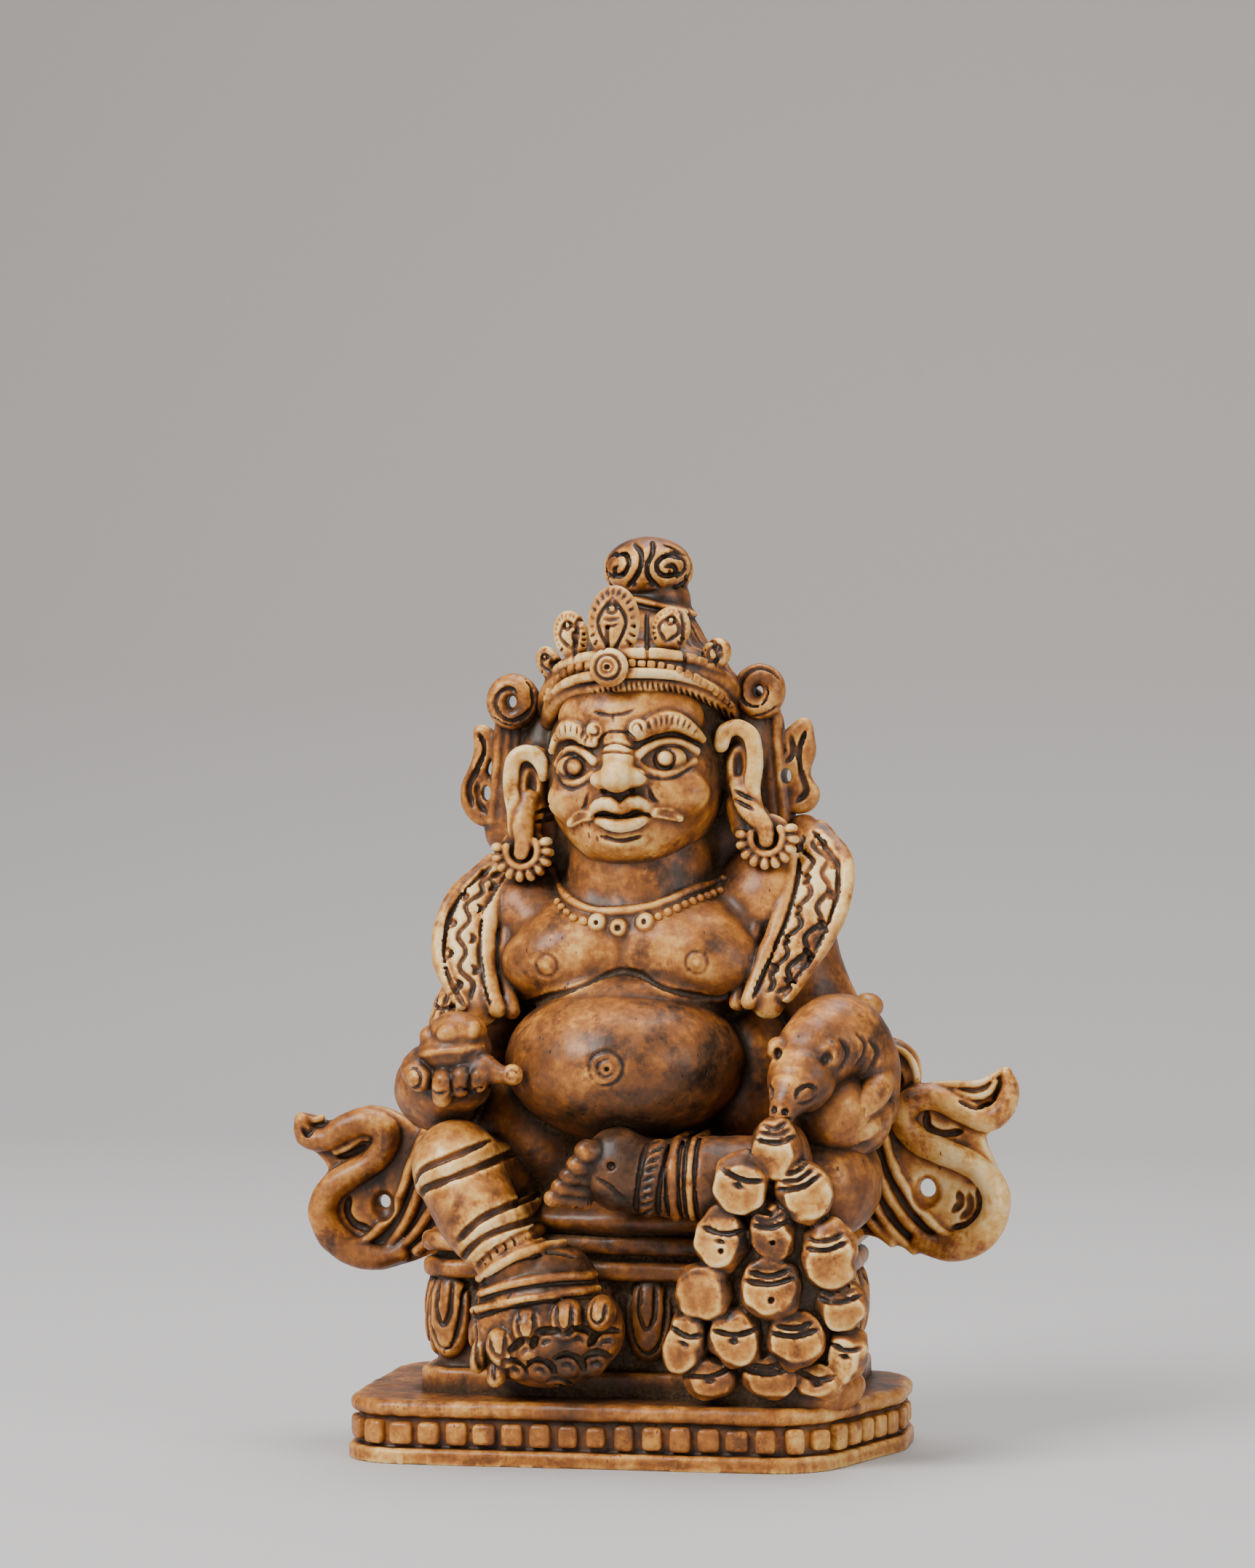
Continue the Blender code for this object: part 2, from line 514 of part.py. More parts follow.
def spare_the_face(statue):
    """Marks the face and crown, so that thinning takes fewer triangles there."""
    strength = statue.vertex_groups.new(name="thinning")
    for vert in statue.data.vertices:
        face = vert.co.z > FACE_LOW and vert.co.y < -3.0 * UNIT
        strength.add([vert.index], FACE_THINNING if face else 1.0, "REPLACE")


def build():
    clear_scene()
    for form in (base, throne, torso, fruit_arm, mongoose_arm, jewels, legs, shoulder_scarf, head, ears):
        form()
    for form in (crown, crown_ribbons, scarf_ends, necklace):
        form()
    collection = bpy.data.collections.new("jambhala_statue")
    bpy.context.scene.collection.children.link(collection)
    statue = new_object("statue", carve_together("statue"), collection)
    remesh = statue.modifiers.new("one skin", "REMESH")
    remesh.mode = "VOXEL"
    remesh.voxel_size = VOXEL
    largest_shell(baked(statue))
    smooth = statue.modifiers.new("soften", "SMOOTH")
    smooth.iterations = round(SMOOTHING)
    baked(statue)
    spare_the_face(statue)
    thin = statue.modifiers.new("thin", "DECIMATE")
    thin.vertex_group = "thinning"
    thin.ratio = min(1.0, TRIANGLES / sum(len(p.vertices) - 2 for p in statue.data.polygons))
    baked(statue)
    statue.data.materials.append(bone_material())
    statue.data.shade_smooth()


build()
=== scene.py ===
# %% [markdown]
# # A carved bone figure of a wealth deity
#
# The object is one piece of bone, 88 mm high: a stout seated figure with a fruit in one hand and a
# mongoose under the other, on a throne and a beaded base. The packed frame gives the true size.
# This script carves the fine surface over that frame, strings the beads and stains the bone.
# The figure's lengths are in millimetres, X to the right of the picture, -Y to the front, Z up. The set,
# the lights and the camera are in metres, as Blender has them.

# %% Libraries, and the packed frame
import math

import bpy
import numpy as np
import openvdb
from mathutils import Euler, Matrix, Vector


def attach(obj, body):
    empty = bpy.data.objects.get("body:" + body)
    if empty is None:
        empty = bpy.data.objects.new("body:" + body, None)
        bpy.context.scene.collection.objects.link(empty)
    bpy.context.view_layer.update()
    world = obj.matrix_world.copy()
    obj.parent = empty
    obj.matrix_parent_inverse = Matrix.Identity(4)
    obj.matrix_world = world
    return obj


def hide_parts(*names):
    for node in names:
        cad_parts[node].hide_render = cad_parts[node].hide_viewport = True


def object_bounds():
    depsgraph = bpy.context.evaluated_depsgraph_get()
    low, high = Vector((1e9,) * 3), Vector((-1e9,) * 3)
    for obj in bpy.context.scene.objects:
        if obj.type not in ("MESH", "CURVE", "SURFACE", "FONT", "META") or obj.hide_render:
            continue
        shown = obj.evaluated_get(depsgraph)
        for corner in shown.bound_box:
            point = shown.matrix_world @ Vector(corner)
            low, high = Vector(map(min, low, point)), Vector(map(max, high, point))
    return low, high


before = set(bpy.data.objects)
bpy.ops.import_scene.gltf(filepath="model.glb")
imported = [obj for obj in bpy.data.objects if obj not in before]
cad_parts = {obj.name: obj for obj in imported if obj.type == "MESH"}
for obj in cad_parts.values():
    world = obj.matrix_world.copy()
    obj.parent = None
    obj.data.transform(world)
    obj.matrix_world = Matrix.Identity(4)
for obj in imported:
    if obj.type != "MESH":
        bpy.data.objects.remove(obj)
frame_low, frame_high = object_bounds()
MM = 0.001
print("frame from", [round(v / MM, 1) for v in frame_low], "to", [round(v / MM, 1) for v in frame_high])

# %% [markdown]
# ## Clay to carve
#
# A bone figure is sawn, filed and cut, so its forms run into one another and its lines are sunk grooves.
# Boolean modifiers on meshes could join and cut the forms, but they leave hard seams and fail on hundreds
# of cuts. A field of signed distances is used instead: each cell of a block holds its distance from the
# surface, so two forms join with a soft fillet by one formula, and a cut is the same formula turned round.

# %% Fillets and curves
CELL = 0.2
FINE = 0.15
AIR = 3.0
FAR = 99.0
print("cells of", CELL, "mm, and of", FINE, "mm on the head and the crown")


def soft_min(a, b, blend):
    """The smaller of two distances, with a fillet of the given width where they meet."""
    if blend <= 0:
        return np.minimum(a, b)
    near = np.maximum(blend - np.abs(a - b), 0)
    return np.minimum(a, b) - near * near / (4 * blend)


def spline(points, step, closed=False):
    """Points along a smooth curve through the given ones, about a step apart."""
    p = np.array(points, float)
    p = np.vstack([p[-1], p, p[0], p[1]] if closed else [2 * p[0] - p[1], p, 2 * p[-1] - p[-2]])
    drawn = []
    for a, b, c, d in zip(p, p[1:], p[2:], p[3:]):
        count = max(1, round(np.linalg.norm((c - b)[:3]) / step))
        t = (np.arange(count) / count)[:, None]
        square, cube = 2 * a - 5 * b + 4 * c - d, 3 * b - a - 3 * c + d
        drawn.append((2 * b + (c - a) * t + square * t**2 + cube * t**3) / 2)
    return np.vstack(drawn + [p[-2][None]])

# %% [markdown]
# ### A block
#
# One block for the whole figure would need some sixty million cells, most of them air. So each part gets a
# block of its own, with finer cells on the head, and a form only touches the cells that it can reach.

# %% A block of cells
class Block:
    """Signed distances on a lattice of cells, negative inside the bone."""

    def __init__(self, low, high, cell=CELL):
        self.cell = cell
        self.corner = np.floor(np.array(low, float) / cell).astype(int)
        count = np.ceil(np.array(high, float) / cell).astype(int) - self.corner + 1
        self.field = np.full(np.maximum(count, 1), AIR, np.float32)

    def window(self, low=(-FAR,) * 3, high=(FAR,) * 3):
        """The slices between two corners, or of the whole block, and their X, Y and Z coordinates."""
        a = np.floor(np.array(low) / self.cell).astype(int) - self.corner
        b = np.ceil(np.array(high) / self.cell).astype(int) - self.corner + 1
        cuts = [slice(max(0, m), max(0, m, min(n, size)))
                for m, n, size in zip(a, b, self.field.shape)]
        axes = [((np.arange(cut.start, cut.stop) + first) * self.cell).astype(np.float32)
                for cut, first in zip(cuts, self.corner)]
        return tuple(cuts), axes[0][:, None, None], axes[1][None, :, None], axes[2][None, None, :]

    def bone(self):
        """How much bone the block holds, in cubic centimetres."""
        return round(float((self.field < 0).sum()) * self.cell**3 / 1000, 2)

    def merge(self, shape, blend, cut):
        """Joins another block's form to this one, or cuts it away."""
        low = np.maximum(self.corner, shape.corner)
        high = np.maximum(low, np.minimum(self.corner + self.field.shape, shape.corner + shape.field.shape))
        mine = tuple(slice(a, b) for a, b in zip(low - self.corner, high - self.corner))
        its = tuple(slice(a, b) for a, b in zip(low - shape.corner, high - shape.corner))
        sign = -1 if cut else 1
        self.field[mine] = sign * soft_min(sign * self.field[mine], shape.field[its], blend)

    def sample(self, places, field=None):
        """The field's value at places that lie between the cells."""
        field = self.field if field is None else field
        u = np.clip(places / self.cell - self.corner, 0, np.array(field.shape) - 1.001)
        i = u.astype(int)
        f = u - i
        total = np.zeros(len(places))
        for corner in np.ndindex(2, 2, 2):
            weight = np.prod(np.where(corner, f, 1 - f), axis=1)
            total += weight * field[tuple((i + corner).T)]
        return total

# %% [markdown]
# ### Eggs and bars
#
# Two forms are enough for a figure: an egg for a belly, a knee or a toe, and a bar that changes its
# thickness along a curve for a limb, a lip or a roll. Metaballs could do this in Blender, but they can't
# be cut and their fillets can't be set one by one, so both forms are written into the cells here.

# %% Eggs and bars
class Forms(Block):
    """A block that eggs and bars can be joined to, or cut from."""

    def egg(self, centre, radii, turn=(0, 0, 0), blend=0.6, cut=False):
        """An ellipsoid, turned by degrees about X, Y and Z."""
        centre, radii = np.array(centre, float), np.array(radii, float)
        reach = (radii.max() if any(turn) else radii) + 1.25 * blend + 2 * self.cell
        shape = Block(centre - reach, centre + reach, self.cell)
        _, x, y, z = shape.window(centre - reach, centre + reach)
        turned = np.array(Euler([math.radians(a) for a in turn]).to_matrix()).T
        ways = [row[0] * (x - centre[0]) + row[1] * (y - centre[1]) + row[2] * (z - centre[2])
                for row in turned]
        scaled = np.sqrt(sum((way / r) ** 2 for way, r in zip(ways, radii)))
        steep = np.sqrt(sum((way / r**2) ** 2 for way, r in zip(ways, radii)))
        shape.field[:] = scaled * (scaled - 1) / np.maximum(steep, 1e-5)
        self.merge(shape, blend, cut)

    def bar(self, path, blend=0.5, flat=1.0, cut=False, step=0.6, closed=False):
        """A round bar through (x, y, z, radius) points; flat scales its section along Y."""
        path = spline(path, step, closed) if step else np.array(path, float)
        spread = np.array([1.0, max(flat, 1.0), 1.0])
        margin = 1.25 * blend + 2 * self.cell
        reach = path[:, 3].max() * spread + margin
        shape = Block(path[:, :3].min(0) - reach, path[:, :3].max(0) + reach, self.cell)
        for p, q in zip(path, path[1:]):
            room = max(p[3], q[3]) * spread + margin
            cuts, x, y, z = shape.window(np.minimum(p, q)[:3] - room, np.maximum(p, q)[:3] + room)
            way = (q - p)[:3] / [1, flat, 1]
            along = [x - p[0], (y - p[1]) / flat, z - p[2]]
            t = sum(v * w for v, w in zip(along, way)) / max(float(way @ way), 1e-9)
            t = np.clip(t, 0, 1)
            away = np.sqrt(sum((v - w * t) ** 2 for v, w in zip(along, way)))
            shape.field[cuts] = np.minimum(shape.field[cuts], away - (p[3] + (q[3] - p[3]) * t))
        self.merge(shape, blend, cut)

# %% [markdown]
# ### Tool work
#
# A carver draws a line on the bone and follows it with the graver. The same is done here: a line drawn
# flat in the picture's plane is pushed back onto the surface, then a cutter or a raised cord follows it.
# A bump texture would be quicker, but its lines cast no shadow and vanish from the outline.

# %% Grooves, welts, holes and bosses
FRONT, BACK, LEFT, RIGHT = (0, 1, 0), (0, -1, 0), (1, 0, 0), (-1, 0, 0)


class Clay(Forms):
    """A block whose surface takes tool work."""

    def lay(self, line, way=FRONT, closed=False, step=0.3):
        """A drawn line pushed along a way until it lies on the surface: places and outward normals."""
        way = np.array(way, float)
        drawn = spline(line, step, closed)
        axis = int(np.abs(way).argmax())
        reach = 12.0
        if drawn.shape[1] == 3:
            starts = drawn - way * 5.0
        else:
            starts = np.zeros((len(drawn), 3))
            starts[:, [i for i in range(3) if i != axis]] = drawn
            edge = self.corner[axis] + (0 if way[axis] > 0 else self.field.shape[axis] - 1)
            starts[:, axis] = edge * self.cell
            reach = self.field.shape[axis] * self.cell
        steps = np.arange(0.0, reach, self.cell * 0.7)
        places = starts[:, None] + steps[None, :, None] * way
        values = self.sample(places.reshape(-1, 3)).reshape(len(starts), -1)
        first = (values < 0).argmax(1)
        rows = np.flatnonzero(first > 0)
        before, after = values[rows, first[rows] - 1], values[rows, first[rows]]
        t = steps[first[rows] - 1] + steps[1] * before / (before - after)
        found = starts[rows] + t[:, None] * way
        normal = np.stack([self.sample(found + e) - self.sample(found - e)
                           for e in np.eye(3) * self.cell * 1.5], 1)
        return found, normal / np.maximum(np.linalg.norm(normal, axis=1, keepdims=True), 1e-6)

    def groove(self, line, width=0.4, depth=0.3, way=FRONT, closed=False, blend=0.08):
        """A line cut into the surface, which thins out at both ends."""
        places, normals = self.lay(line, way, closed)
        if len(places) < 2:
            return
        share = np.ones(len(places))
        if not closed:
            ends = np.minimum(np.arange(len(places)), np.arange(len(places))[::-1]) * 0.3
            share = np.clip(0.4 + ends / 0.9, 0.4, 1)
        wide, deep = width * share, depth * share
        radius = (wide**2 / 4 + deep**2) / (2 * deep)
        self.bar(np.c_[places + normals * (radius - deep)[:, None], radius], blend, cut=True, step=0)

    def welt(self, line, radius=0.4, proud=0.3, way=FRONT, closed=False, blend=0.25):
        """A raised cord laid on the surface."""
        places, normals = self.lay(line, way, closed)
        if len(places) > 1:
            self.bar(np.c_[places + normals * (proud - radius), np.full(len(places), radius)],
                     blend, step=0)

    def drill(self, x, z, radius, depth, way=FRONT):
        """A round hole bored into the surface."""
        places, normals = self.lay([(x, z), (x + 0.01, z)], way)
        if len(places):
            ends = [np.r_[places[0] + normals[0] * 0.4, radius],
                    np.r_[places[0] - normals[0] * (depth - radius), radius]]
            self.bar(ends, 0.08, cut=True, step=0)

    def knob(self, x, z, radius, proud, way=FRONT, blend=0.2):
        """A round boss on the surface."""
        places, normals = self.lay([(x, z), (x + 0.01, z)], way)
        if len(places):
            self.egg(places[0] + normals[0] * (proud - radius), [radius] * 3, blend=blend)

    def flatten(self, place, outward, blend=0.2):
        """Files a flat face: nothing stays beyond the plane through a place."""
        _, x, y, z = self.window()
        beyond = sum((way - at) * n for way, at, n in zip((x, y, z), place, Vector(outward).normalized()))
        self.field[:] = -soft_min(-self.field, -beyond.astype(np.float32), blend)

    def uneven(self, amount, size, seed):
        """Adds the slow unevenness that a hand tool leaves."""
        count = [int(n * self.cell / size) + 3 for n in self.field.shape]
        noise = np.random.default_rng(seed).uniform(-1, 1, count)
        for axis, n in enumerate(self.field.shape):
            u = np.arange(n) * self.cell / size
            i = u.astype(int)
            f = (u - i) ** 2 * (3 - 2 * (u - i))
            f = f.reshape([-1 if a == axis else 1 for a in range(3)])
            noise = np.take(noise, i, axis) * (1 - f) + np.take(noise, i + 1, axis) * f
        self.field += (amount * noise).astype(np.float32)


def ring(x, z, radius, high=None, turns=1.0, start=0.0, count=12):
    """Points of a circle, an oval or an arc, drawn on a face."""
    angles = np.radians(start) + np.linspace(0, 2 * math.pi * turns, count + 1)
    angles = angles[:count] if turns == 1.0 else angles
    return [(x + radius * math.cos(a), z + (high or radius) * math.sin(a)) for a in angles]


blocks = {}
print("tools:", ", ".join(name for name in vars(Clay) if not name.startswith("_")))

# %% [markdown]
# ## The base
#
# The base is a low plate with a thin lip at the ground and a broader rounded lip on top. Between them runs
# a channel for the beads. Its outline isn't symmetrical: one front corner is cut away in a long sweep.
# Extruded curves with a Bevel modifier could make it. Here the plate is built up from the distance to its
# outline, so that each lip is the same outline drawn in a little, and its top can be uneven like filed bone.

# %% Outlines of the base and the throne
def rounded(corners, steps=8):
    """The outline through (x, y, radius) corners, anticlockwise, each corner rounded by its own radius."""
    outline = []
    for i, (x, y, radius) in enumerate(corners):
        here = Vector((x, y))
        ways = [(Vector(corners[j][:2]) - here).normalized() for j in (i - 1, (i + 1) % len(corners))]
        half = ways[0].angle(ways[1]) / 2
        middle = here + (ways[0] + ways[1]).normalized() * (radius / math.sin(half))
        start = here + ways[0] * (radius / math.tan(half)) - middle
        for step in range(steps + 1):
            a = (math.pi - 2 * half) * step / steps
            across = start.x * math.cos(a) - start.y * math.sin(a)
            outline.append((middle.x + across, middle.y + start.x * math.sin(a) + start.y * math.cos(a)))
    return outline


BASE = rounded([(-25.8, -15, 6), (19.8, -15, 8), (26.4, 2, 8), (26.4, 16, 8), (-25.8, 16, 8)])
THRONE = rounded([(-19.6, -9.5, 4), (22, -9.5, 4), (22, 14.5, 4), (-19.6, 14.5, 4)])


def flat_distance(clay, outline, axis=1):
    """Distance from an outline over the block's X and Y cells (X and Z for axis 2), negative inside."""
    ways = clay.window()[1:]
    x, y = ways[0].reshape(-1, 1), ways[axis].reshape(1, -1)
    nearest = np.full((x.shape[0], y.shape[1]), 1e9, np.float32)
    inside = np.zeros(nearest.shape, bool)
    for (ax, ay), (bx, by) in zip(outline, outline[1:] + outline[:1]):
        dx, dy = bx - ax, by - ay
        t = np.clip(((x - ax) * dx + (y - ay) * dy) / max(dx * dx + dy * dy, 1e-9), 0, 1)
        nearest = np.minimum(nearest, (x - ax - dx * t) ** 2 + (y - ay - dy * t) ** 2)
        if ay != by:
            inside ^= ((ay > y) != (by > y)) & (x < (bx - ax) * (y - ay) / (by - ay) + ax)
    return np.where(inside, -1, 1) * np.sqrt(nearest)


def slab(clay, distance, inset, low, high, edge, blend=0.15):
    """Joins a plate between two heights, drawn in by inset from an outline and rounded at its edges."""
    _, _, _, z = clay.window()
    upright = np.abs(z - (low + high) / 2) - (high - low) / 2
    plate = -soft_min(-(distance[:, :, None] + inset), -upright, edge)
    clay.field[:] = soft_min(clay.field, plate.astype(np.float32), blend)

# %% The base plate
BASE_PLATES = (
    # drawn in from the outline, bottom, top, roundness of the edge
    (0.0, -1.0, 1.45, 0.5),
    (1.0, -1.0, 5.5, 0.3),
    (0.15, 4.35, 6.0, 0.9),
)


def carve_base():
    """Two lips and a channel, with a slightly uneven top, cut flat at the ground."""
    clay = Clay((-27.2, -16.4, -0.8), (27.8, 17.4, 7.0))
    distance = flat_distance(clay, BASE)
    for inset, low, high, edge in BASE_PLATES:
        slab(clay, distance, inset, low, high, edge)
    clay.uneven(0.07, 3.1, 1)
    clay.uneven(0.04, 1.1, 2)
    _, _, _, z = clay.window()
    clay.field[:] = np.maximum(clay.field, -z)
    return clay


blocks["base_plate"] = carve_base()
print("base block", blocks["base_plate"].field.shape)

# %% [markdown]
# ## The throne
#
# The seat is a block with a plinth, a drawn-in waist and a double moulding on top. Lotus petals hang round
# the waist like tongues. They could be separate meshes on a curve, but on the real piece they grow out of
# the waist. So one petal is drawn once, as a tongue with two sunk lines, and is then cut again at every
# station of the throne's outline, which takes it round the corners as a carver's template would.

# %% The throne
def stations(outline, pitch):
    """Evenly spaced (x, y, angle) places on an outline, as near to pitch apart as fits."""
    closed = np.array(outline + outline[:1])
    spans = np.linalg.norm(np.diff(closed, axis=0), axis=1)
    reach = np.r_[0, np.cumsum(spans)]
    places = []
    for here in np.arange(round(reach[-1] / pitch)) * reach[-1] / round(reach[-1] / pitch):
        i = min(int(np.searchsorted(reach, here, side="right")) - 1, len(spans) - 1)
        t = (here - reach[i]) / spans[i]
        x, y = closed[i] + (closed[i + 1] - closed[i]) * t
        places.append((x, y, math.atan2(closed[i + 1, 1] - closed[i, 1], closed[i + 1, 0] - closed[i, 0])))
    return places


PETAL_PITCH = 4.9
PETAL_MIDDLE = 13.3
WAIST_INSET = 1.7
PETAL_LINE = [(-1.75, 16.6), (-1.75, 13.4), (-1.0, 10.9), (0.0, 10.1), (1.0, 10.9), (1.75, 13.4),
              (1.75, 16.6)]
TONGUE_LINE = [(-0.75, 16.6), (-0.75, 13.8), (0.0, 12.4), (0.75, 13.8), (0.75, 16.6)]


def carve_throne():
    """A stepped block with one row of hanging petals."""
    clay = Clay((-20.8, -11.2, 4.6), (23.4, 15.8, 22.0))
    distance = flat_distance(clay, THRONE)
    slab(clay, distance, 0.1, 4.0, 8.3, 0.7)
    slab(clay, distance, WAIST_INSET, 4.0, 20.0, 0.3, 0.5)
    for x, y, angle in stations(THRONE, PETAL_PITCH):
        out = np.array([math.sin(angle), -math.cos(angle), 0.0])
        along = np.array([math.cos(angle), math.sin(angle), 0.0])
        middle = np.array([x, y, PETAL_MIDDLE]) - out * WAIST_INSET
        clay.egg(middle, (2.3, 1.5, 4.1), turn=(0, 0, math.degrees(angle)), blend=0.2)
        for line, width in ((PETAL_LINE, 0.45), (TONGUE_LINE, 0.4)):
            drawn = [middle + along * u + [0, 0, z - PETAL_MIDDLE] for u, z in line]
            clay.groove(drawn, width, 0.35, way=-out)
    slab(clay, distance, 0.3, 16.9, 18.7, 0.8)
    slab(clay, distance, 0.1, 19.4, 21.2, 0.9)
    clay.uneven(0.09, 2.3, 3)
    clay.uneven(0.05, 0.9, 4)
    return clay


blocks["throne"] = carve_throne()
print("throne block", blocks["throne"].field.shape)

# %% [markdown]
# ## The body
#
# The body is plain and full: a round belly that hangs over the lap, a heavy breast, broad shoulders. It
# could be pushed out of a cage of faces with a Subdivision Surface modifier, but such a cage has to be drawn
# by hand. Large eggs with wide fillets give the same forms from a few numbers each. Then come the lines, in
# the order in which a carver would cut them: the crease under the breast, the nipples, the navel in two
# rings, the raised cord of the necklace with three pendants, and two drilled holes beside the chest.

# %% Torso
def carve_torso():
    """Hips, belly, breast, shoulders, back and neck, with the necklace's cord and pendants."""
    clay = Clay((-22.5, -18.5, 19.5), (25.5, 15.0, 62.5))
    clay.egg((1.2, 3.5, 26.5), (19.0, 10.6, 7.5), blend=1.0)  # hips
    clay.egg((0.5, -2.0, 22.6), (15.5, 8.0, 2.6), blend=1.0)  # lap
    clay.egg((-9.0, -1.5, 30.5), (6.2, 6.6, 6.4), blend=1.0)  # the flank behind the raised knee
    clay.egg((11.8, -0.5, 34.5), (5.2, 5.6, 8.5), blend=1.0)  # the flank behind the mongoose
    clay.egg((1.0, 4.0, 41.0), (13.8, 8.0, 16.0), blend=1.0)  # back
    clay.egg((1.0, -0.5, 47.5), (12.6, 9.0, 8.5), blend=1.0)  # chest
    clay.egg((-5.4, -4.3, 47.6), (6.8, 5.6, 4.6), turn=(0, -16, 0), blend=1.6)  # the two breasts
    clay.egg((6.9, -4.3, 47.9), (7.0, 5.6, 4.7), turn=(0, 16, 0), blend=1.6)
    clay.egg((-9.8, 1.0, 51.0), (5.6, 6.4, 5.6), blend=1.2)  # the two shoulders
    clay.egg((13.6, 1.0, 52.6), (6.0, 6.4, 6.2), blend=1.2)
    clay.bar([(1.0, 0.0, 51.0, 8.0), (1.0, -0.5, 58.0, 7.2)], blend=1.0)  # neck
    clay.bar([(-8.6, 2.4, 60.0, 3.4), (1.0, 4.0, 57.0, 6.4), (11.4, 2.4, 60.6, 3.6)], blend=1.0)
    clay.egg((0.3, -5.6, 37.5), (11.5, 11.3, 7.7), blend=0.5)  # belly, and the roll above it
    clay.egg((0.4, -3.7, 44.2), (9.4, 7.4, 2.6), blend=0.8)
    clay.groove([(-9.6, 42.9), (-6.6, 43.8), (-4.1, 44.6), (-1.0, 45.9), (0.6, 46.4)], 0.6, 0.4)
    clay.groove([(0.6, 46.4), (2.4, 46.0), (4.0, 45.2), (7.1, 44.1), (9.6, 43.7), (11.1, 44.4)], 0.6, 0.4)
    clay.groove([(0.4, 46.4), (0.6, 48.0), (0.7, 49.6)], 0.9, 0.16, blend=0.5)
    for x, z in ((-6.6, 46.8), (7.8, 47.2)):
        clay.groove(ring(x, z, 1.05), 0.28, 0.16, closed=True)
        clay.knob(x, z, 0.4, 0.12)
    clay.groove(ring(0.4, 37.6, 1.6), 0.34, 0.2, closed=True)
    clay.groove(ring(0.4, 37.6, 0.8, turns=0.8, start=60), 0.34, 0.28)
    clay.drill(0.5, 37.5, 0.3, 0.45)
    clay.welt([(-7.6, 55.6), (-6.0, 53.6), (-3.6, 52.3), (-0.5, 51.9), (3.1, 52.4), (6.7, 53.9),
               (9.3, 55.0)],
              0.42, 0.38, blend=0.1)
    for x, z in ((-1.9, 50.9), (0.2, 50.4), (2.7, 51.0)):
        clay.knob(x, z, 0.95, 0.75, blend=0.1)
        clay.drill(x, z, 0.3, 0.5)
    for x, z in ((-9.0, 42.4), (10.9, 43.5)):
        clay.drill(x, z, 0.6, 2.0)
    return clay


torso = carve_torso()
print("torso block", torso.field.shape)

# %% [markdown]
# ### The scarf on the shoulders
#
# A broad scarf lies over both shoulders and narrows to a point on the chest. Cloth in bone is only a few
# millimetres thick, so it isn't modelled as cloth: a flat bar makes the panel, thin bars along it make the
# rolled rims, and wavy and hooked cuts give its pattern.

# %% Scarf on the shoulders
SCARF_SIDES = (
    # middle of the panel as (x, y, z, half width), then which way is outward
    ([(-12.6, 0.0, 56.2, 1.3), (-14.8, -3.2, 53.0, 1.9), (-15.6, -5.0, 49.6, 2.2), (-15.2, -6.2, 46.2, 2.1),
      (-13.4, -7.4, 42.4, 1.6)], -1),
    ([(16.6, 0.6, 59.6, 1.6), (18.6, -2.2, 56.4, 2.4), (18.2, -4.4, 52.0, 2.7), (16.4, -6.0, 47.6, 2.4),
      (14.2, -7.4, 43.4, 1.6)], 1),
)


# how far out along the panel's half width, thickness, how far to the front and up
RIMS = ((1.0, 0.75, 0.5, 0.3), (-1.1, 0.85, 0.6, -0.2), (-1.9, 0.8, -0.3, -0.4))


def carve_scarf(clay):
    """Each side of the scarf: a panel with wavy lines, a proud rim outside, a rolled fold inside."""
    for panel, side in SCARF_SIDES:
        clay.bar(panel, blend=0.4, flat=0.5)
        line = spline(panel, 0.4)
        for share, radius, ahead, lift in RIMS:
            rim = line.copy()
            rim[:, 0] += side * share * line[:, 3]
            rim[:, 1] -= ahead
            rim[:, 2] += lift
            rim[:, 3] = radius
            clay.bar(rim[::3], blend=0.15, step=0.6)
        for share in (-0.38, 0.32) if side > 0 else (-0.05,):
            sway = 0.45 * np.sin(np.arange(len(line)) * 0.75 + share)
            drawn = np.c_[line[:, 0] + side * share * line[:, 3] + sway, line[:, 2]]
            clay.groove(drawn[2:-3], 0.5, 0.4)
        for i in range(4, len(line) - 5, 4):
            x, _, z, r = line[i]
            x += (0.52 if i % 8 else -0.5) * side * r
            clay.groove([(x - 0.3, z + 0.55), (x + 0.25, z + 0.1), (x - 0.2, z - 0.5)], 0.45, 0.45)
        for share in (-0.8, 0.72):
            clay.groove(line[::2, [0, 2]] + np.c_[side * share * line[::2, 3], np.zeros(len(line[::2]))],
                        0.4, 0.5)
    clay.bar([(-11.0, 3.6, 55.4, 3.0), (-6.0, 8.2, 56.0, 2.6), (1.0, 9.4, 56.6, 2.6), (9.0, 8.2, 57.4, 2.6),
              (15.4, 4.0, 57.6, 3.0)], blend=0.6)
    for drop in (0.0, 1.5):
        clay.groove([(-10.0, 55.6 - drop), (1.0, 57.0 - drop), (14.0, 57.6 - drop)], 0.45, 0.35, way=BACK)


carve_scarf(torso)
print("torso and scarf:", torso.bone(), "cm3")

# %% [markdown]
# ## Arms, hands and fruit
#
# Both arms are short and round. The fist with the fruit rests on the raised knee, and the other hand comes
# down under the mongoose. A rigged hand could be posed for this, but carved fingers are stubby and have no
# joints. So they are short bars laid side by side with little fillet, and the gaps between them are cuts.
# The fruit is an egg with lobes pressed onto it, a raised ledge, and a stalk that ends in a knob.

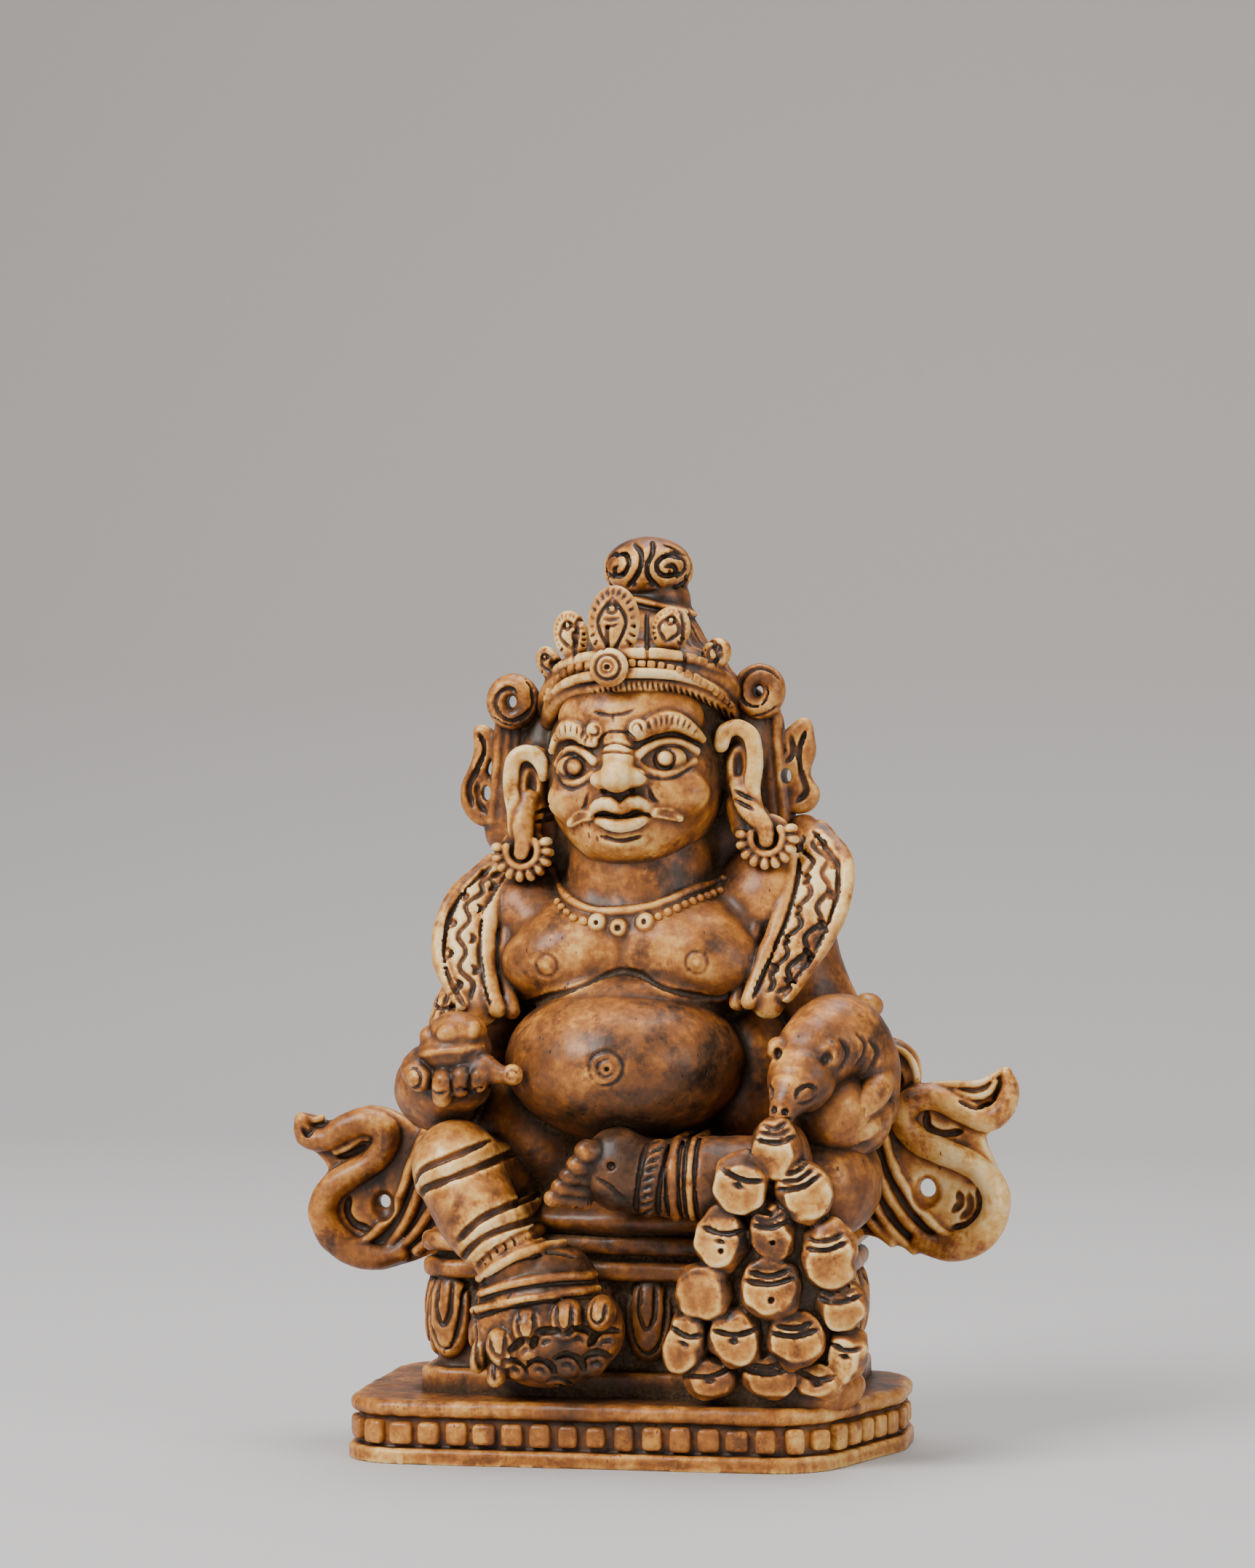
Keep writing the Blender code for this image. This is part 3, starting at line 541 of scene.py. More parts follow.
# %% The arm with the fruit
def carve_fruit_arm(clay):
    """Upper arm, forearm and fist, with the folds of cloth above the elbow."""
    clay.bar([(-11.0, 2.0, 49.6, 4.6), (-13.8, 1.5, 42.0, 4.4), (-17.6, -0.5, 35.2, 4.6)], blend=0.6)
    clay.bar([(-17.8, -0.5, 34.8, 4.6), (-17.6, -7.5, 35.0, 4.1), (-15.0, -11.0, 36.2, 3.5)], blend=0.8)
    clay.bar([(-16.4, -1.5, 45.0, 1.5), (-17.0, -3.0, 42.6, 1.9), (-17.0, -4.5, 40.8, 2.2)], blend=0.4)
    for x in (-18.6, -17.6, -16.6):
        clay.groove([(x + 0.3, 44.0), (x + 0.1, 43.0), (x, 41.6)], 0.5, 0.4)
    clay.groove([(-19.0, 42.9), (-17.6, 42.5), (-15.8, 42.9)], 0.35, 0.4)
    fingers = ((-15.4, 36.9, 34.6, 1.05), (-13.6, 37.4, 35.4, 0.95), (-11.9, 37.4, 35.8, 0.9))
    for x, high, low, r in fingers:
        clay.bar([(x, -13.0, high, r), (x - 0.1, -14.8, high - 0.8, r), (x - 0.3, -14.4, low, 0.9 * r)],
                 blend=0.35, step=0.5)
    for x, high, low, _ in fingers[:2]:
        clay.groove([(x + 0.85, high - 0.4), (x + 0.8, low + 0.8), (x + 0.5, low - 0.2)], 0.35, 0.3)
    clay.groove([(-16.5, 35.3), (-15.7, 34.9), (-14.8, 35.3)], 0.3, 0.3)
    clay.groove([(-14.4, 35.0), (-13.6, 35.5), (-12.8, 35.0), (-12.0, 35.6), (-11.2, 35.1)], 0.3, 0.25)
    clay.bar([(-18.4, -10.5, 37.6, 1.5), (-18.4, -12.8, 37.0, 1.5), (-17.8, -14.0, 36.2, 1.25)], blend=0.3)
    clay.groove(ring(-18.3, 36.3, 0.75, 0.95, turns=0.85, start=200), 0.32, 0.3)


carve_fruit_arm(torso)
print("torso with one arm:", torso.bone(), "cm3 of bone")

# %% The fruit
def carve_fruit(clay):
    """A round fruit with four lobes on top, a raised ledge, and a stalk with a knob."""
    clay.egg((-14.9, -12.0, 38.8), (3.5, 3.4, 2.6), blend=0.25)
    clay.egg((-14.6, -12.4, 40.6), (2.8, 2.6, 1.9), blend=0.25)
    lobes = ((-17.1, -12.8, 40.0, 1.1, 1.3, -14), (-15.0, -14.1, 40.4, 1.35, 1.15, 0),
             (-13.1, -13.4, 40.6, 0.95, 1.25, 22), (-14.9, -12.6, 41.7, 1.7, 0.85, 0))
    for x, y, z, wide, high, lean in lobes:
        clay.egg((x, y, z), (wide, 1.3, high), turn=(-12, lean, 0), blend=0.08)
    clay.welt([(-18.0, 38.4), (-16.4, 38.8), (-14.2, 39.0), (-11.9, 39.2)], 0.3, 0.22, blend=0.3)
    clay.bar([(-12.4, -13.4, 37.4, 1.7), (-10.6, -14.2, 36.9, 1.0), (-9.4, -14.5, 36.7, 0.75)], blend=0.4)
    clay.egg((-8.9, -14.6, 36.8), (0.95, 0.95, 1.0), blend=0.15)
    clay.groove(ring(-8.8, 36.8, 0.5), 0.25, 0.2, closed=True)


carve_fruit(torso)
print("with the fruit:", torso.bone(), "cm3")

# %% The other arm
def carve_mongoose_arm(clay):
    """The upper arm and forearm that come down beside the mongoose."""
    clay.bar([(14.4, 2.0, 50.6, 4.8), (16.4, 2.5, 44.5, 4.3), (19.6, 1.5, 38.0, 4.4)], blend=0.6)
    clay.bar([(19.8, 1.5, 37.6, 4.4), (20.8, -5.0, 34.5, 4.2), (20.6, -9.6, 33.2, 3.9)], blend=0.8)
    clay.egg((22.9, -0.5, 42.8), (1.5, 1.8, 1.3), blend=0.4)


carve_mongoose_arm(torso)
torso.uneven(0.1, 1.9, 5)
torso.uneven(0.03, 0.8, 25)
blocks["torso_and_arms"] = torso
print("torso, scarf and arms:", torso.bone(), "cm3")

# %% [markdown]
# ## Legs and feet
#
# One leg hangs down and rests its foot on a small lotus, the other lies folded on the seat with the sole
# forward. The ties and cuffs could be tori placed on the shins, but the real ones are only a raised line
# between two cuts. So each is a cord laid on the skin with a groove beside it, and the twisted anklet is
# such a cord with slanting notches. Toes are eggs with a nail cut as a U. The lotus is worn, so it is a
# cluster of low lumps with cut arcs, and three petals at its side.

# %% The hanging leg
NAIL = ((-0.5, 0.9), (-0.48, -0.1), (0.0, -0.6), (0.48, -0.1), (0.5, 0.9))


def carve_hanging_leg(clay):
    """Thigh, knee and shin, with two ties and a twisted anklet, and the foot with its cuffs and toes."""
    clay.bar([(-10.0, 2.0, 24.6, 5.0), (-13.8, -8.0, 26.4, 4.3), (-14.8, -12.2, 28.2, 4.1)], blend=0.8)
    clay.bar([(-14.6, -12.6, 27.6, 4.2), (-11.8, -14.2, 23.0, 3.9), (-9.2, -14.0, 20.0, 3.3)], blend=0.6)
    clay.egg((-6.8, -12.8, 17.0), (5.6, 4.4, 4.0), turn=(0, -10, 0), blend=0.7)
    clay.egg((-5.9, -12.6, 12.8), (7.3, 4.6, 5.6), blend=0.6)
    ties = (
        [(-18.4, 25.4), (-17.2, 26.9), (-14.7, 28.0), (-11.6, 29.3), (-9.4, 30.2)],
        [(-13.6, 20.4), (-11.4, 22.4), (-9.0, 23.6), (-5.6, 24.5)],
    )
    for line in ties:
        clay.welt(line, 1.0, 0.12, blend=0.3)
        for lift in (1.0, -1.0):
            clay.groove([(x, z + lift) for x, z in line], 0.75, 0.5)
    clay.groove([(-11.8, 18.6), (-10.5, 19.8), (-9.0, 20.9), (-7.4, 21.8), (-5.0, 22.4)], 1.3, 0.5)
    anklet = [(-11.6, 18.6), (-10.4, 19.8), (-9.0, 20.9), (-7.4, 21.7), (-5.4, 22.3)]
    clay.welt(anklet, 0.7, 0.35, blend=0.2)
    for x, z in spline(anklet, 0.75)[1:-1]:
        clay.groove([(x - 0.35, z + 0.6), (x, z), (x + 0.15, z - 0.6)], 0.32, 0.35)
    cuffs = (
        ([(-12.2, 17.4), (-10.0, 19.0), (-7.8, 20.2), (-4.6, 20.8), (-2.6, 20.2)], 0.6),
        ([(-12.6, 15.9), (-8.7, 17.3), (-4.0, 18.1), (0.4, 17.9)], 0.4),
        ([(-12.8, 14.4), (-8.6, 15.8), (-3.9, 16.6), (0.8, 16.8)], 0.5),
    )
    for line, proud in cuffs:
        clay.welt(line, 0.42, proud, blend=0.3)
        clay.groove([(x, z - 0.6) for x, z in line], 0.4, 0.3)
    toes = ((-9.5, 11.4, 1.55, 12), (-6.9, 13.3, 1.75, 6), (-3.4, 14.1, 1.65, 2), (-0.2, 14.8, 1.3, -6))
    for x, z, r, lean in toes:
        clay.egg((x, -15.9, z), (r, 2.2, 1.3 * r), turn=(8, -lean, 0), blend=0.06)
    for x, z, r, lean in toes:
        a = math.radians(lean)
        drawn = [(u * r, v * r) for u, v in NAIL]
        clay.groove([(x + u * math.cos(a) - v * math.sin(a), z + u * math.sin(a) + v * math.cos(a))
                     for u, v in drawn], 0.5, 0.45)


legs = Clay((-21.0, -19.0, 4.8), (26.0, 8.0, 36.0))
carve_hanging_leg(legs)
print("legs block", legs.field.shape)

# %% The lotus
def carve_lotus(clay):
    """The lotus under the hanging foot: low lumps with arcs in front, three long petals on its left."""
    lumps = ((-7.0, 10.9, 1.3, 60), (-4.9, 11.6, 1.6, 200), (-2.2, 11.9, 1.5, 20), (0.3, 11.6, 1.5, 120),
             (-8.4, 8.9, 1.2, 160), (-6.0, 8.9, 1.4, 300), (-3.4, 9.4, 1.5, 80), (-0.8, 9.3, 1.6, 220),
             (-4.6, 7.2, 1.2, 0))
    for x, z, r, _ in lumps:
        clay.knob(x, z, r, 0.4, blend=0.2)
    for x, z, r, start in lumps:
        arc = np.radians(np.linspace(start % 70 - 20, start % 70 + 130, 6))
        clay.groove([(x + r * math.cos(a), z + r * math.sin(a)) for a in arc], 0.6, 0.6, blend=0.15)
        clay.groove([(x + 0.4 * r * math.cos(a), z + 0.4 * r * math.sin(a)) for a in arc], 0.4, 0.3)
    for x, y, z, high in ((-12.4, -12.0, 13.2, 2.6), (-12.0, -13.6, 10.6, 2.2), (-10.2, -14.6, 9.0, 1.6)):
        clay.egg((x, y, z), (1.0, 2.2, high), turn=(0, 16, 0), blend=0.1)
        clay.groove([(x - 0.3, z + high * 0.7), (x - 0.1, z), (x + 0.2, z - high * 0.7)], 0.4, 0.35)


carve_lotus(legs)
print("leg and lotus:", legs.bone(), "cm3")

# %% The folded leg
def carve_folded_leg(clay):
    """Thigh, knee and shin on the seat, a double cuff, a rope at the ankle, and the sole turned forward."""
    clay.bar([(12.0, 4.0, 27.0, 7.2), (18.4, -3.0, 26.6, 6.0), (19.8, -8.6, 26.2, 5.0)], blend=0.8)
    clay.bar([(19.6, -9.0, 26.2, 4.8), (11.0, -12.0, 27.0, 4.1), (5.0, -13.2, 27.2, 3.6),
              (1.6, -13.6, 27.6, 3.7)],
             blend=0.7)
    clay.egg((0.9, -14.2, 28.4), (3.2, 2.9, 3.7), turn=(0, 20, 0), blend=0.5)
    slant = 0.16
    for x, radius, proud in ((4.5, 0.95, 0.35), (6.6, 0.5, 0.3), (8.2, 0.4, 0.25)):
        lean = slant if radius > 0.6 else 0.0
        clay.welt([(x + lean * (z - 27), z) for z in (31.4, 29.4, 27.2, 25.0, 23.0)],
                  radius, proud, blend=0.15)
        for side in (-1, 1):
            edge = x + side * (radius + 0.1)
            clay.groove([(edge + lean * (z - 27), z) for z in (31.2, 29.4, 27.2, 25.0, 23.4)], 0.35, 0.35)
    for i in range(9):
        z = 30.8 - 0.85 * i
        clay.groove([(3.9 + slant * (z - 27), z - 0.2), (5.1 + slant * (z - 27), z + 0.35)], 0.3, 0.35)
    toes = ((-1.5, 29.8, 1.15), (-2.4, 28.5, 1.0), (-3.2, 27.4, 0.92), (-4.0, 26.4, 0.88),
            (-4.7, 25.4, 0.84))
    for x, z, r in toes:
        clay.bar([(x + 2.6, -14.6, z - 0.4, r), (x, -16.4, z, r)], blend=0.1)
    clay.drill(0.9, 28.6, 0.35, 0.6)
    clay.groove([(-0.6, 27.4), (0.8, 26.6), (2.0, 25.4)], 0.4, 0.3)


carve_folded_leg(legs)
legs.uneven(0.09, 1.7, 6)
legs.uneven(0.03, 0.7, 26)
blocks["legs_and_feet"] = legs
print("two legs and a lotus:", legs.bone(), "cm3")

# %% [markdown]
# ## The mongoose
#
# The mongoose lies over the hand with its head hanging down. Fur could be cut as hundreds of strokes, but
# the real one is rubbed smooth and keeps only three folds on its neck. So it is a few bars and eggs, like a
# small limb, with hollow ears, eyes cut as arcs, drilled nostrils and a cut mouth.

# %% The mongoose and the hand
def carve_mongoose():
    """Back, neck, head and two round ears, then the hand whose fingers come round from below."""
    clay = Clay((13.0, -19.0, 28.0), (27.5, 0.0, 46.0))
    clay.bar([(23.0, -4.0, 34.0, 3.4), (23.0, -6.2, 37.6, 3.6), (21.0, -7.6, 40.0, 4.3),
              (19.2, -10.6, 38.8, 3.8)],
             blend=0.5)
    clay.egg((18.2, -13.2, 36.6), (3.2, 2.7, 3.2), turn=(0, -10, 0), blend=0.5)
    clay.bar([(17.8, -14.2, 36.0, 2.5), (17.1, -15.8, 34.4, 1.6), (16.8, -16.2, 33.4, 1.3)], blend=0.4)
    for x, y, z, r in ((15.9, -12.4, 39.3, 0.8), (20.7, -13.2, 38.9, 1.0)):
        clay.egg((x, y, z), (1.3 * r, 1.3, 1.45 * r), blend=0.3)
        clay.egg((x + 0.15, y - 1.7, z - 0.3), (0.7 * r, 1.0, 0.85 * r), blend=0.15, cut=True)
    clay.groove([(18.2, 35.0), (18.5, 35.8), (19.3, 36.2), (20.0, 35.8)], 0.4, 0.35)
    clay.groove([(18.4, 34.6), (19.3, 34.6), (20.0, 35.2)], 0.3, 0.25)
    clay.groove([(15.5, 36.2), (15.9, 35.6), (15.8, 34.9)], 0.5, 0.4)
    clay.drill(16.1, 34.0, 0.35, 0.5)
    clay.drill(17.3, 33.8, 0.35, 0.5)
    clay.groove([(15.8, 33.2), (16.6, 32.7), (17.8, 33.1)], 0.5, 0.5)
    for x, z in ((22.2, 39.4), (23.6, 39.8), (24.6, 39.2)):
        clay.groove([(x - 0.4, z + 0.9), (x + 0.3, z), (x + 0.1, z - 1.2), (x - 0.5, z - 2.0)],
                    0.55, 0.25, blend=0.2)
    clay.egg((22.5, -7.0, 32.8), (3.5, 4.0, 3.7), blend=0.5)
    clay.bar([(25.0, -6.0, 37.0, 1.4), (24.6, -9.4, 35.2, 1.5), (23.2, -10.9, 33.6, 1.1)], blend=0.4)
    clay.groove(ring(23.3, 33.5, 0.6, 0.7, turns=0.7, start=150), 0.3, 0.25)
    clay.bar([(25.2, -6.5, 33.4, 1.2), (23.6, -10.2, 31.8, 1.2), (21.4, -11.2, 31.6, 1.0)], blend=0.35)
    clay.bar([(24.0, -7.0, 30.6, 1.1), (22.2, -9.8, 29.9, 1.1), (20.2, -10.6, 31.0, 0.9)], blend=0.35)
    clay.uneven(0.08, 1.3, 7)
    return clay


blocks["mongoose_and_hand"] = carve_mongoose()
print("mongoose block", blocks["mongoose_and_hand"].field.shape)

# %% [markdown]
# ### The jewels
#
# The mongoose pours out jewels, which fall in a heap of pebbles down to the base. A particle system could
# drop them, but a carver places each one and files one flat face on it. So each pebble is an uneven egg
# with a filed face, some saw cuts above it and sometimes a drilled dot. A stem joins it to the core behind,
# and the gaps between the pebbles stay deep and dark.

# %% The heap of jewels
JEWELS = (
    # x, y, z, half width, half height, lean in degrees, saw cuts, drilled dot
    (16.5, -16.6, 30.5, 1.9, 2.6, 4, 3, False), (13.1, -16.6, 27.1, 2.1, 2.7, -18, 1, False),
    (18.8, -16.0, 26.4, 2.2, 2.7, 18, 3, False), (11.2, -15.6, 21.9, 2.1, 2.9, -6, 1, True),
    (15.9, -15.9, 22.6, 1.7, 2.6, 4, 3, True), (21.1, -15.4, 20.5, 2.1, 3.1, 6, 2, False),
    (9.5, -15.2, 16.9, 2.3, 2.5, -14, 0, False), (15.8, -15.9, 17.4, 2.4, 2.7, 2, 2, True),
    (22.1, -14.4, 15.8, 2.0, 2.3, 2, 3, False), (7.6, -14.2, 12.2, 1.6, 2.9, -14, 1, False),
    (12.4, -15.0, 12.6, 2.1, 2.5, 0, 1, False), (18.0, -15.0, 12.6, 2.2, 2.5, 2, 2, False),
    (22.5, -13.4, 11.2, 1.6, 2.5, -8, 1, False), (9.9, -13.4, 8.7, 2.2, 1.7, 10, 1, False),
    (15.3, -13.8, 9.0, 2.2, 2.1, 0, 2, False), (19.8, -13.2, 8.7, 1.8, 1.5, -6, 1, False),
)


HEAP_MIDDLE = 15.6
# filed faces of the jewels are painted paler: rubbed bone, and partly a painted highlight from the light
# above; faces below z 10 get the smaller amount
FACET_WEAR_AND_HIGHLIGHT, LOW_FACET_WEAR_AND_HIGHLIGHT = 0.28, 0.12
FACETS = []


def carve_jewel(index, x, y, z, wide, high, lean, cuts, dotted):
    """One pebble: an uneven egg with a stem, a flat face filed on its lower half, curved cuts above it."""
    stone = Clay((x - 4.4, y - 4, z - 4.4), (x + 4.4, y + 6, z + 4.4))
    a = math.radians(lean)

    def spot(u, v):
        """A place on the pebble's front, u across and v up along its lean."""
        return x + u * math.cos(a) - v * math.sin(a), z + u * math.sin(a) + v * math.cos(a)

    stone.egg((x, y, z), (1.24 * wide, 2.3, 1.14 * high), turn=(0, -lean, 0), blend=0)
    stone.uneven(0.34, 1.3, 40 + index)
    stone.bar([(x, y + 0.6, z, 1.2), (x + 0.4 * (HEAP_MIDDLE - x), y + 5.0, z - 0.4, 1.4)], blend=0.6)
    fx, fz = spot(0.0, -0.3 * high)
    outward = Vector((0.22 * (index % 3 - 1), -1.0, 0.12 * (index % 4) - 0.25)).normalized()
    face = (fx, y - 1.45, fz)
    stone.flatten(face, outward, 0.08)
    FACETS.append((face, tuple(outward), high, FACET_WEAR_AND_HIGHLIGHT if z > 10 else LOW_FACET_WEAR_AND_HIGHLIGHT))
    for i in range(cuts):
        v, reach = high * (0.26 + 0.27 * i), wide * (1.0 - 0.2 * i)
        stone.groove([spot(-reach, v + 0.2), spot(0.1, v - 0.2), spot(reach, v + 0.35)], 0.48, 0.45)
    if dotted:
        stone.drill(*spot(0.1, -0.35 * high), 0.3, 0.6)
    if cuts == 1:
        stone.groove([spot(-0.6, -0.1), spot(0.5, -0.2)], 0.5, 0.45)
    return stone


def carve_jewels():
    """The core of the heap, and sixteen pebbles over it."""
    clay = Clay((3.4, -19.0, 4.8), (26.4, -3.0, 34.0))
    clay.bar([(16.4, -13.2, 30.0, 2.6), (16.2, -12.7, 19.0, 5.6), (15.2, -9.8, 9.6, 7.2)],
             blend=0.5, flat=0.55)
    clay.egg((15.4, -8.2, 7.4), (8.2, 4.8, 3.6), blend=0.5)
    for index, jewel in enumerate(JEWELS):
        clay.merge(carve_jewel(index, *jewel), 0.06, False)
    clay.uneven(0.07, 1.1, 8)
    return clay


blocks["jewels"] = carve_jewels()
print("mongoose and", len(JEWELS), "jewels")

# %% [markdown]
# ## Head and face
#
# The face is broad and fierce in the traditional way: round eyes under curled brows, a short wide nose,
# thick lips, the ends of a moustache. It could be sculpted by hand with brushes, but a script needs places
# and sizes. The skull and cheeks are eggs with wide fillets, and each feature is then laid on them as a
# cord or sunk as a line, drawn in the picture's plane and pushed back onto the skin.

# %% Skull and nose
def carve_skull(clay):
    """Skull, cheeks, chin and nose."""
    clay.egg((0.9, 0.5, 67.0), (9.0, 9.2, 9.4), blend=0.8)
    clay.egg((0.8, -3.0, 63.6), (8.3, 7.4, 7.9), blend=1.2)
    clay.egg((0.6, -6.0, 59.4), (5.2, 3.8, 3.2), blend=1.2)
    clay.egg((0.9, -6.0, 70.4), (7.0, 3.9, 3.6), blend=0.9)
    for x, z in ((-8.6, 66.6), (11.0, 68.2), (10.3, 62.0), (-8.4, 61.0)):
        clay.egg((x, 1.0, z), (2.8, 2.6, 5.4), blend=0.5)
    clay.bar([(0.9, -1.0, 54.0, 6.6), (0.9, -0.6, 60.0, 6.6)], blend=0.8)
    for x, z in ((-4.0, 62.5), (5.7, 63.1)):
        clay.egg((x, -7.3, z), (2.9, 2.1, 2.2), blend=1.1)
    for x, z in ((-4.0, 65.6), (4.7, 66.3)):
        clay.egg((x, -10.6, z), (2.4, 1.2, 1.5), blend=0.9, cut=True)
    clay.bar([(0.35, -9.0, 68.6, 1.3), (0.45, -10.2, 66.6, 1.4), (0.5, -11.3, 65.0, 1.5)], blend=1.0)
    clay.egg((0.5, -11.7, 64.5), (1.5, 1.4, 1.25), blend=0.6)
    for x, z in ((-1.15, 64.4), (2.05, 64.6)):
        clay.egg((x, -10.5, z), (1.1, 1.4, 0.85), blend=0.6)
    for x, z in ((-1.0, 63.3), (1.7, 63.4)):
        clay.drill(x, z, 0.3, 0.5)


head = Clay((-14.0, -15.5, 52.5), (18.0, 11.5, 77.5), FINE)
carve_skull(head)
print("head block", head.field.shape)

# %% Brows and wrinkles
# along each brow: x, z and thickness
LEFT_BROW = [(-6.5, 67.1, 0.35), (-6.1, 68.4, 0.7), (-5.0, 69.1, 1.0), (-3.8, 68.9, 1.0),
             (-2.9, 68.2, 0.75), (-2.1, 68.0, 0.55)]
RIGHT_BROW = [(2.0, 68.6, 0.55), (2.9, 69.1, 0.8), (4.1, 69.7, 1.0), (5.5, 69.9, 1.0), (6.8, 69.3, 0.75),
              (7.5, 68.2, 0.4)]


def carve_brows(clay):
    """Two thick brows, each with a curl at the nose and a row of hatched cuts along its upper edge."""
    for brow in (LEFT_BROW, RIGHT_BROW):
        drawn = spline(brow, 0.4)
        places, normals = clay.lay(drawn[:, :2])
        count = min(len(places), len(drawn))
        radii = np.interp(np.arange(len(places)), np.linspace(0, len(places) - 1, count), drawn[:count, 2])
        clay.bar(np.c_[places + normals * (0.75 - radii)[:, None] + [0, -0.15, 0], radii],
                 blend=0.25, step=0)
    for x, z in ((-2.0, 69.0), (2.2, 69.3)):
        clay.knob(x, z, 0.95, 0.75)
        clay.groove(ring(x, z, 0.5, turns=0.7, start=200 if x < 0 else -20), 0.26, 0.3)
    for brow in (LEFT_BROW, RIGHT_BROW):
        for x, z, r in spline(brow, 0.55)[2:-1]:
            lean = (x - (brow[2][0] + brow[3][0]) / 2) * 0.18
            clay.groove([(x, z - r * 0.35), (x + lean, z + r * 0.6)], 0.26, 0.3)
    wrinkles = (
        [(-1.6, 68.0), (-1.0, 68.7), (-0.1, 69.0), (1.35, 68.8), (2.2, 68.0)],
        [(-1.6, 67.4), (0.24, 67.9), (2.1, 67.3)],
        [(-1.4, 66.9), (0.24, 67.1), (2.0, 66.8)],
        [(-2.2, 70.9), (-1.2, 70.6), (-0.1, 70.5), (1.1, 70.7), (1.9, 71.1)],
        [(-0.15, 70.5), (-0.1, 69.8)],
    )
    for line in wrinkles:
        clay.groove(line, 0.28, 0.22)


carve_brows(head)
print("head with brows:", head.bone(), "cm3")

# %% Eyes
EYES = (
    # middle of the ball, upper lid, lower lid
    ((-4.05, 65.6), [(-6.0, 65.9), (-5.3, 66.9), (-4.3, 67.25), (-3.1, 66.95), (-2.0, 66.1)],
     [(-6.0, 65.4), (-5.2, 64.4), (-4.2, 64.05), (-3.2, 64.35), (-2.2, 65.0)]),
    ((4.7, 66.4), [(2.2, 66.7), (3.2, 67.5), (4.5, 68.0), (5.8, 67.95), (7.2, 67.1)],
     [(2.3, 66.0), (3.2, 65.3), (4.5, 64.95), (5.8, 65.2), (7.2, 66.2)]),
)


def carve_eyes(clay):
    """Round open eyes between two rolled lids."""
    for (x, z), upper, lower in EYES:
        places, _ = clay.lay([(x, z), (x + 0.01, z)])
        clay.egg(places[0] + [0, 0.75, 0], (1.9, 1.3, 1.25), blend=0.1)
        clay.welt(upper, 0.42, 0.5, blend=0.2)
        clay.welt(lower, 0.28, 0.2, blend=0.3)
        clay.groove([(px, pz + 0.6) for px, pz in upper], 0.28, 0.25)
        clay.groove([(px, pz - 0.5) for px, pz in lower], 0.28, 0.16)
        clay.groove(ring(x, z, 0.95), 0.3, 0.3, closed=True)
        clay.knob(x, z, 0.8, 0.3, blend=0.05)


carve_eyes(head)
print("brows and", len(EYES), "eyes")

# %% [markdown]
# ## Mouth, ears and earrings
#
# The lips are two full rolls with a deep line between, and the moustache is a short tuft at each corner,
# cut with three strokes. The ears are long, with a rolled rim and a sunk shell, and their stretched lobes
# carry flower rings: a hoop with ten petals round it. Loops of faces round the mouth and ears would suit a
# face that moves. This one doesn't, so rolls and cuts on the same block are simpler and merge as bone does.

# %% Mouth and moustache
def carve_mouth(clay):
    """Lips, the corners of the mouth, moustache ends and the line of the chin."""
    clay.groove([(-2.6, 63.2), (-2.9, 62.0), (-3.2, 61.6)], 0.4, 0.25)
    clay.groove([(3.2, 63.8), (3.7, 62.6), (4.2, 62.3)], 0.4, 0.25)
    clay.bar([(-2.5, -9.2, 61.1, 0.35), (-1.5, -10.2, 62.0, 0.6), (-0.4, -10.6, 62.1, 0.7),
              (0.7, -10.5, 61.6, 0.55), (1.7, -10.6, 62.2, 0.7), (2.7, -10.2, 62.1, 0.6),
              (3.8, -9.0, 61.1, 0.35)], blend=0.4)
    clay.bar([(-1.6, -9.6, 60.5, 0.35), (-0.6, -10.4, 60.2, 0.55), (0.8, -10.7, 60.05, 0.65),
              (2.2, -10.4, 60.3, 0.55), (3.0, -9.5, 60.7, 0.35)], blend=0.3)
    clay.groove([(-2.4, 60.8), (-1.3, 61.2), (0.0, 61.1), (0.8, 60.8), (1.8, 61.2), (2.6, 61.3),
                 (3.8, 60.8)],
                0.34, 0.4)
    clay.groove([(-1.4, 59.0), (0.6, 58.6), (2.7, 59.1)], 0.45, 0.3)
    tufts = (
        ([(-2.5, 61.0, 0.5), (-3.5, 60.9, 0.6), (-4.5, 60.3, 0.35)], -1),
        ([(3.9, 61.3, 0.5), (4.9, 61.2, 0.65), (6.0, 60.8, 0.35)], 1),
    )
    for tuft, side in tufts:
        drawn = np.array(tuft)
        places, normals = clay.lay(drawn[:, :2])
        radii = np.interp(np.linspace(0, 2, len(places)), range(3), drawn[:, 2])
        clay.bar(np.c_[places + normals * (0.45 - radii)[:, None], radii], blend=0.2, step=0)
        for lift in (0.3, 0.0, -0.3):
            clay.groove([(x, z + lift * (0.6 + 0.2 * i)) for i, (x, z, _) in enumerate(tuft)], 0.24, 0.25)


carve_mouth(head)
print("head with its mouth:", head.bone(), "cm3")

# %% Ears and earrings
EARS = (
    # side, rim, shell of the ear, middle of the earring
    (-1, [(-8.0, 65.0), (-8.4, 66.4), (-9.6, 67.0), (-10.8, 66.2), (-11.1, 63.8), (-10.7, 61.4),
          (-10.6, 59.6), (-10.2, 58.2), (-9.9, 57.2)],
     [(-8.75, 65.6), (-9.6, 65.9), (-9.95, 64.2), (-9.6, 62.4), (-9.0, 62.4), (-8.7, 63.6)],
     (-9.9, 57.6)),
    (1, [(9.3, 67.8), (9.8, 69.0), (11.0, 69.4), (12.3, 68.4), (12.6, 66.0), (12.3, 63.8), (12.6, 61.8),
         (13.3, 60.2), (13.8, 58.8)],
     [(10.7, 68.0), (11.4, 67.3), (11.7, 66.0), (11.4, 64.2), (10.8, 64.3), (10.4, 66.0)],
     (13.8, 58.9)),
)


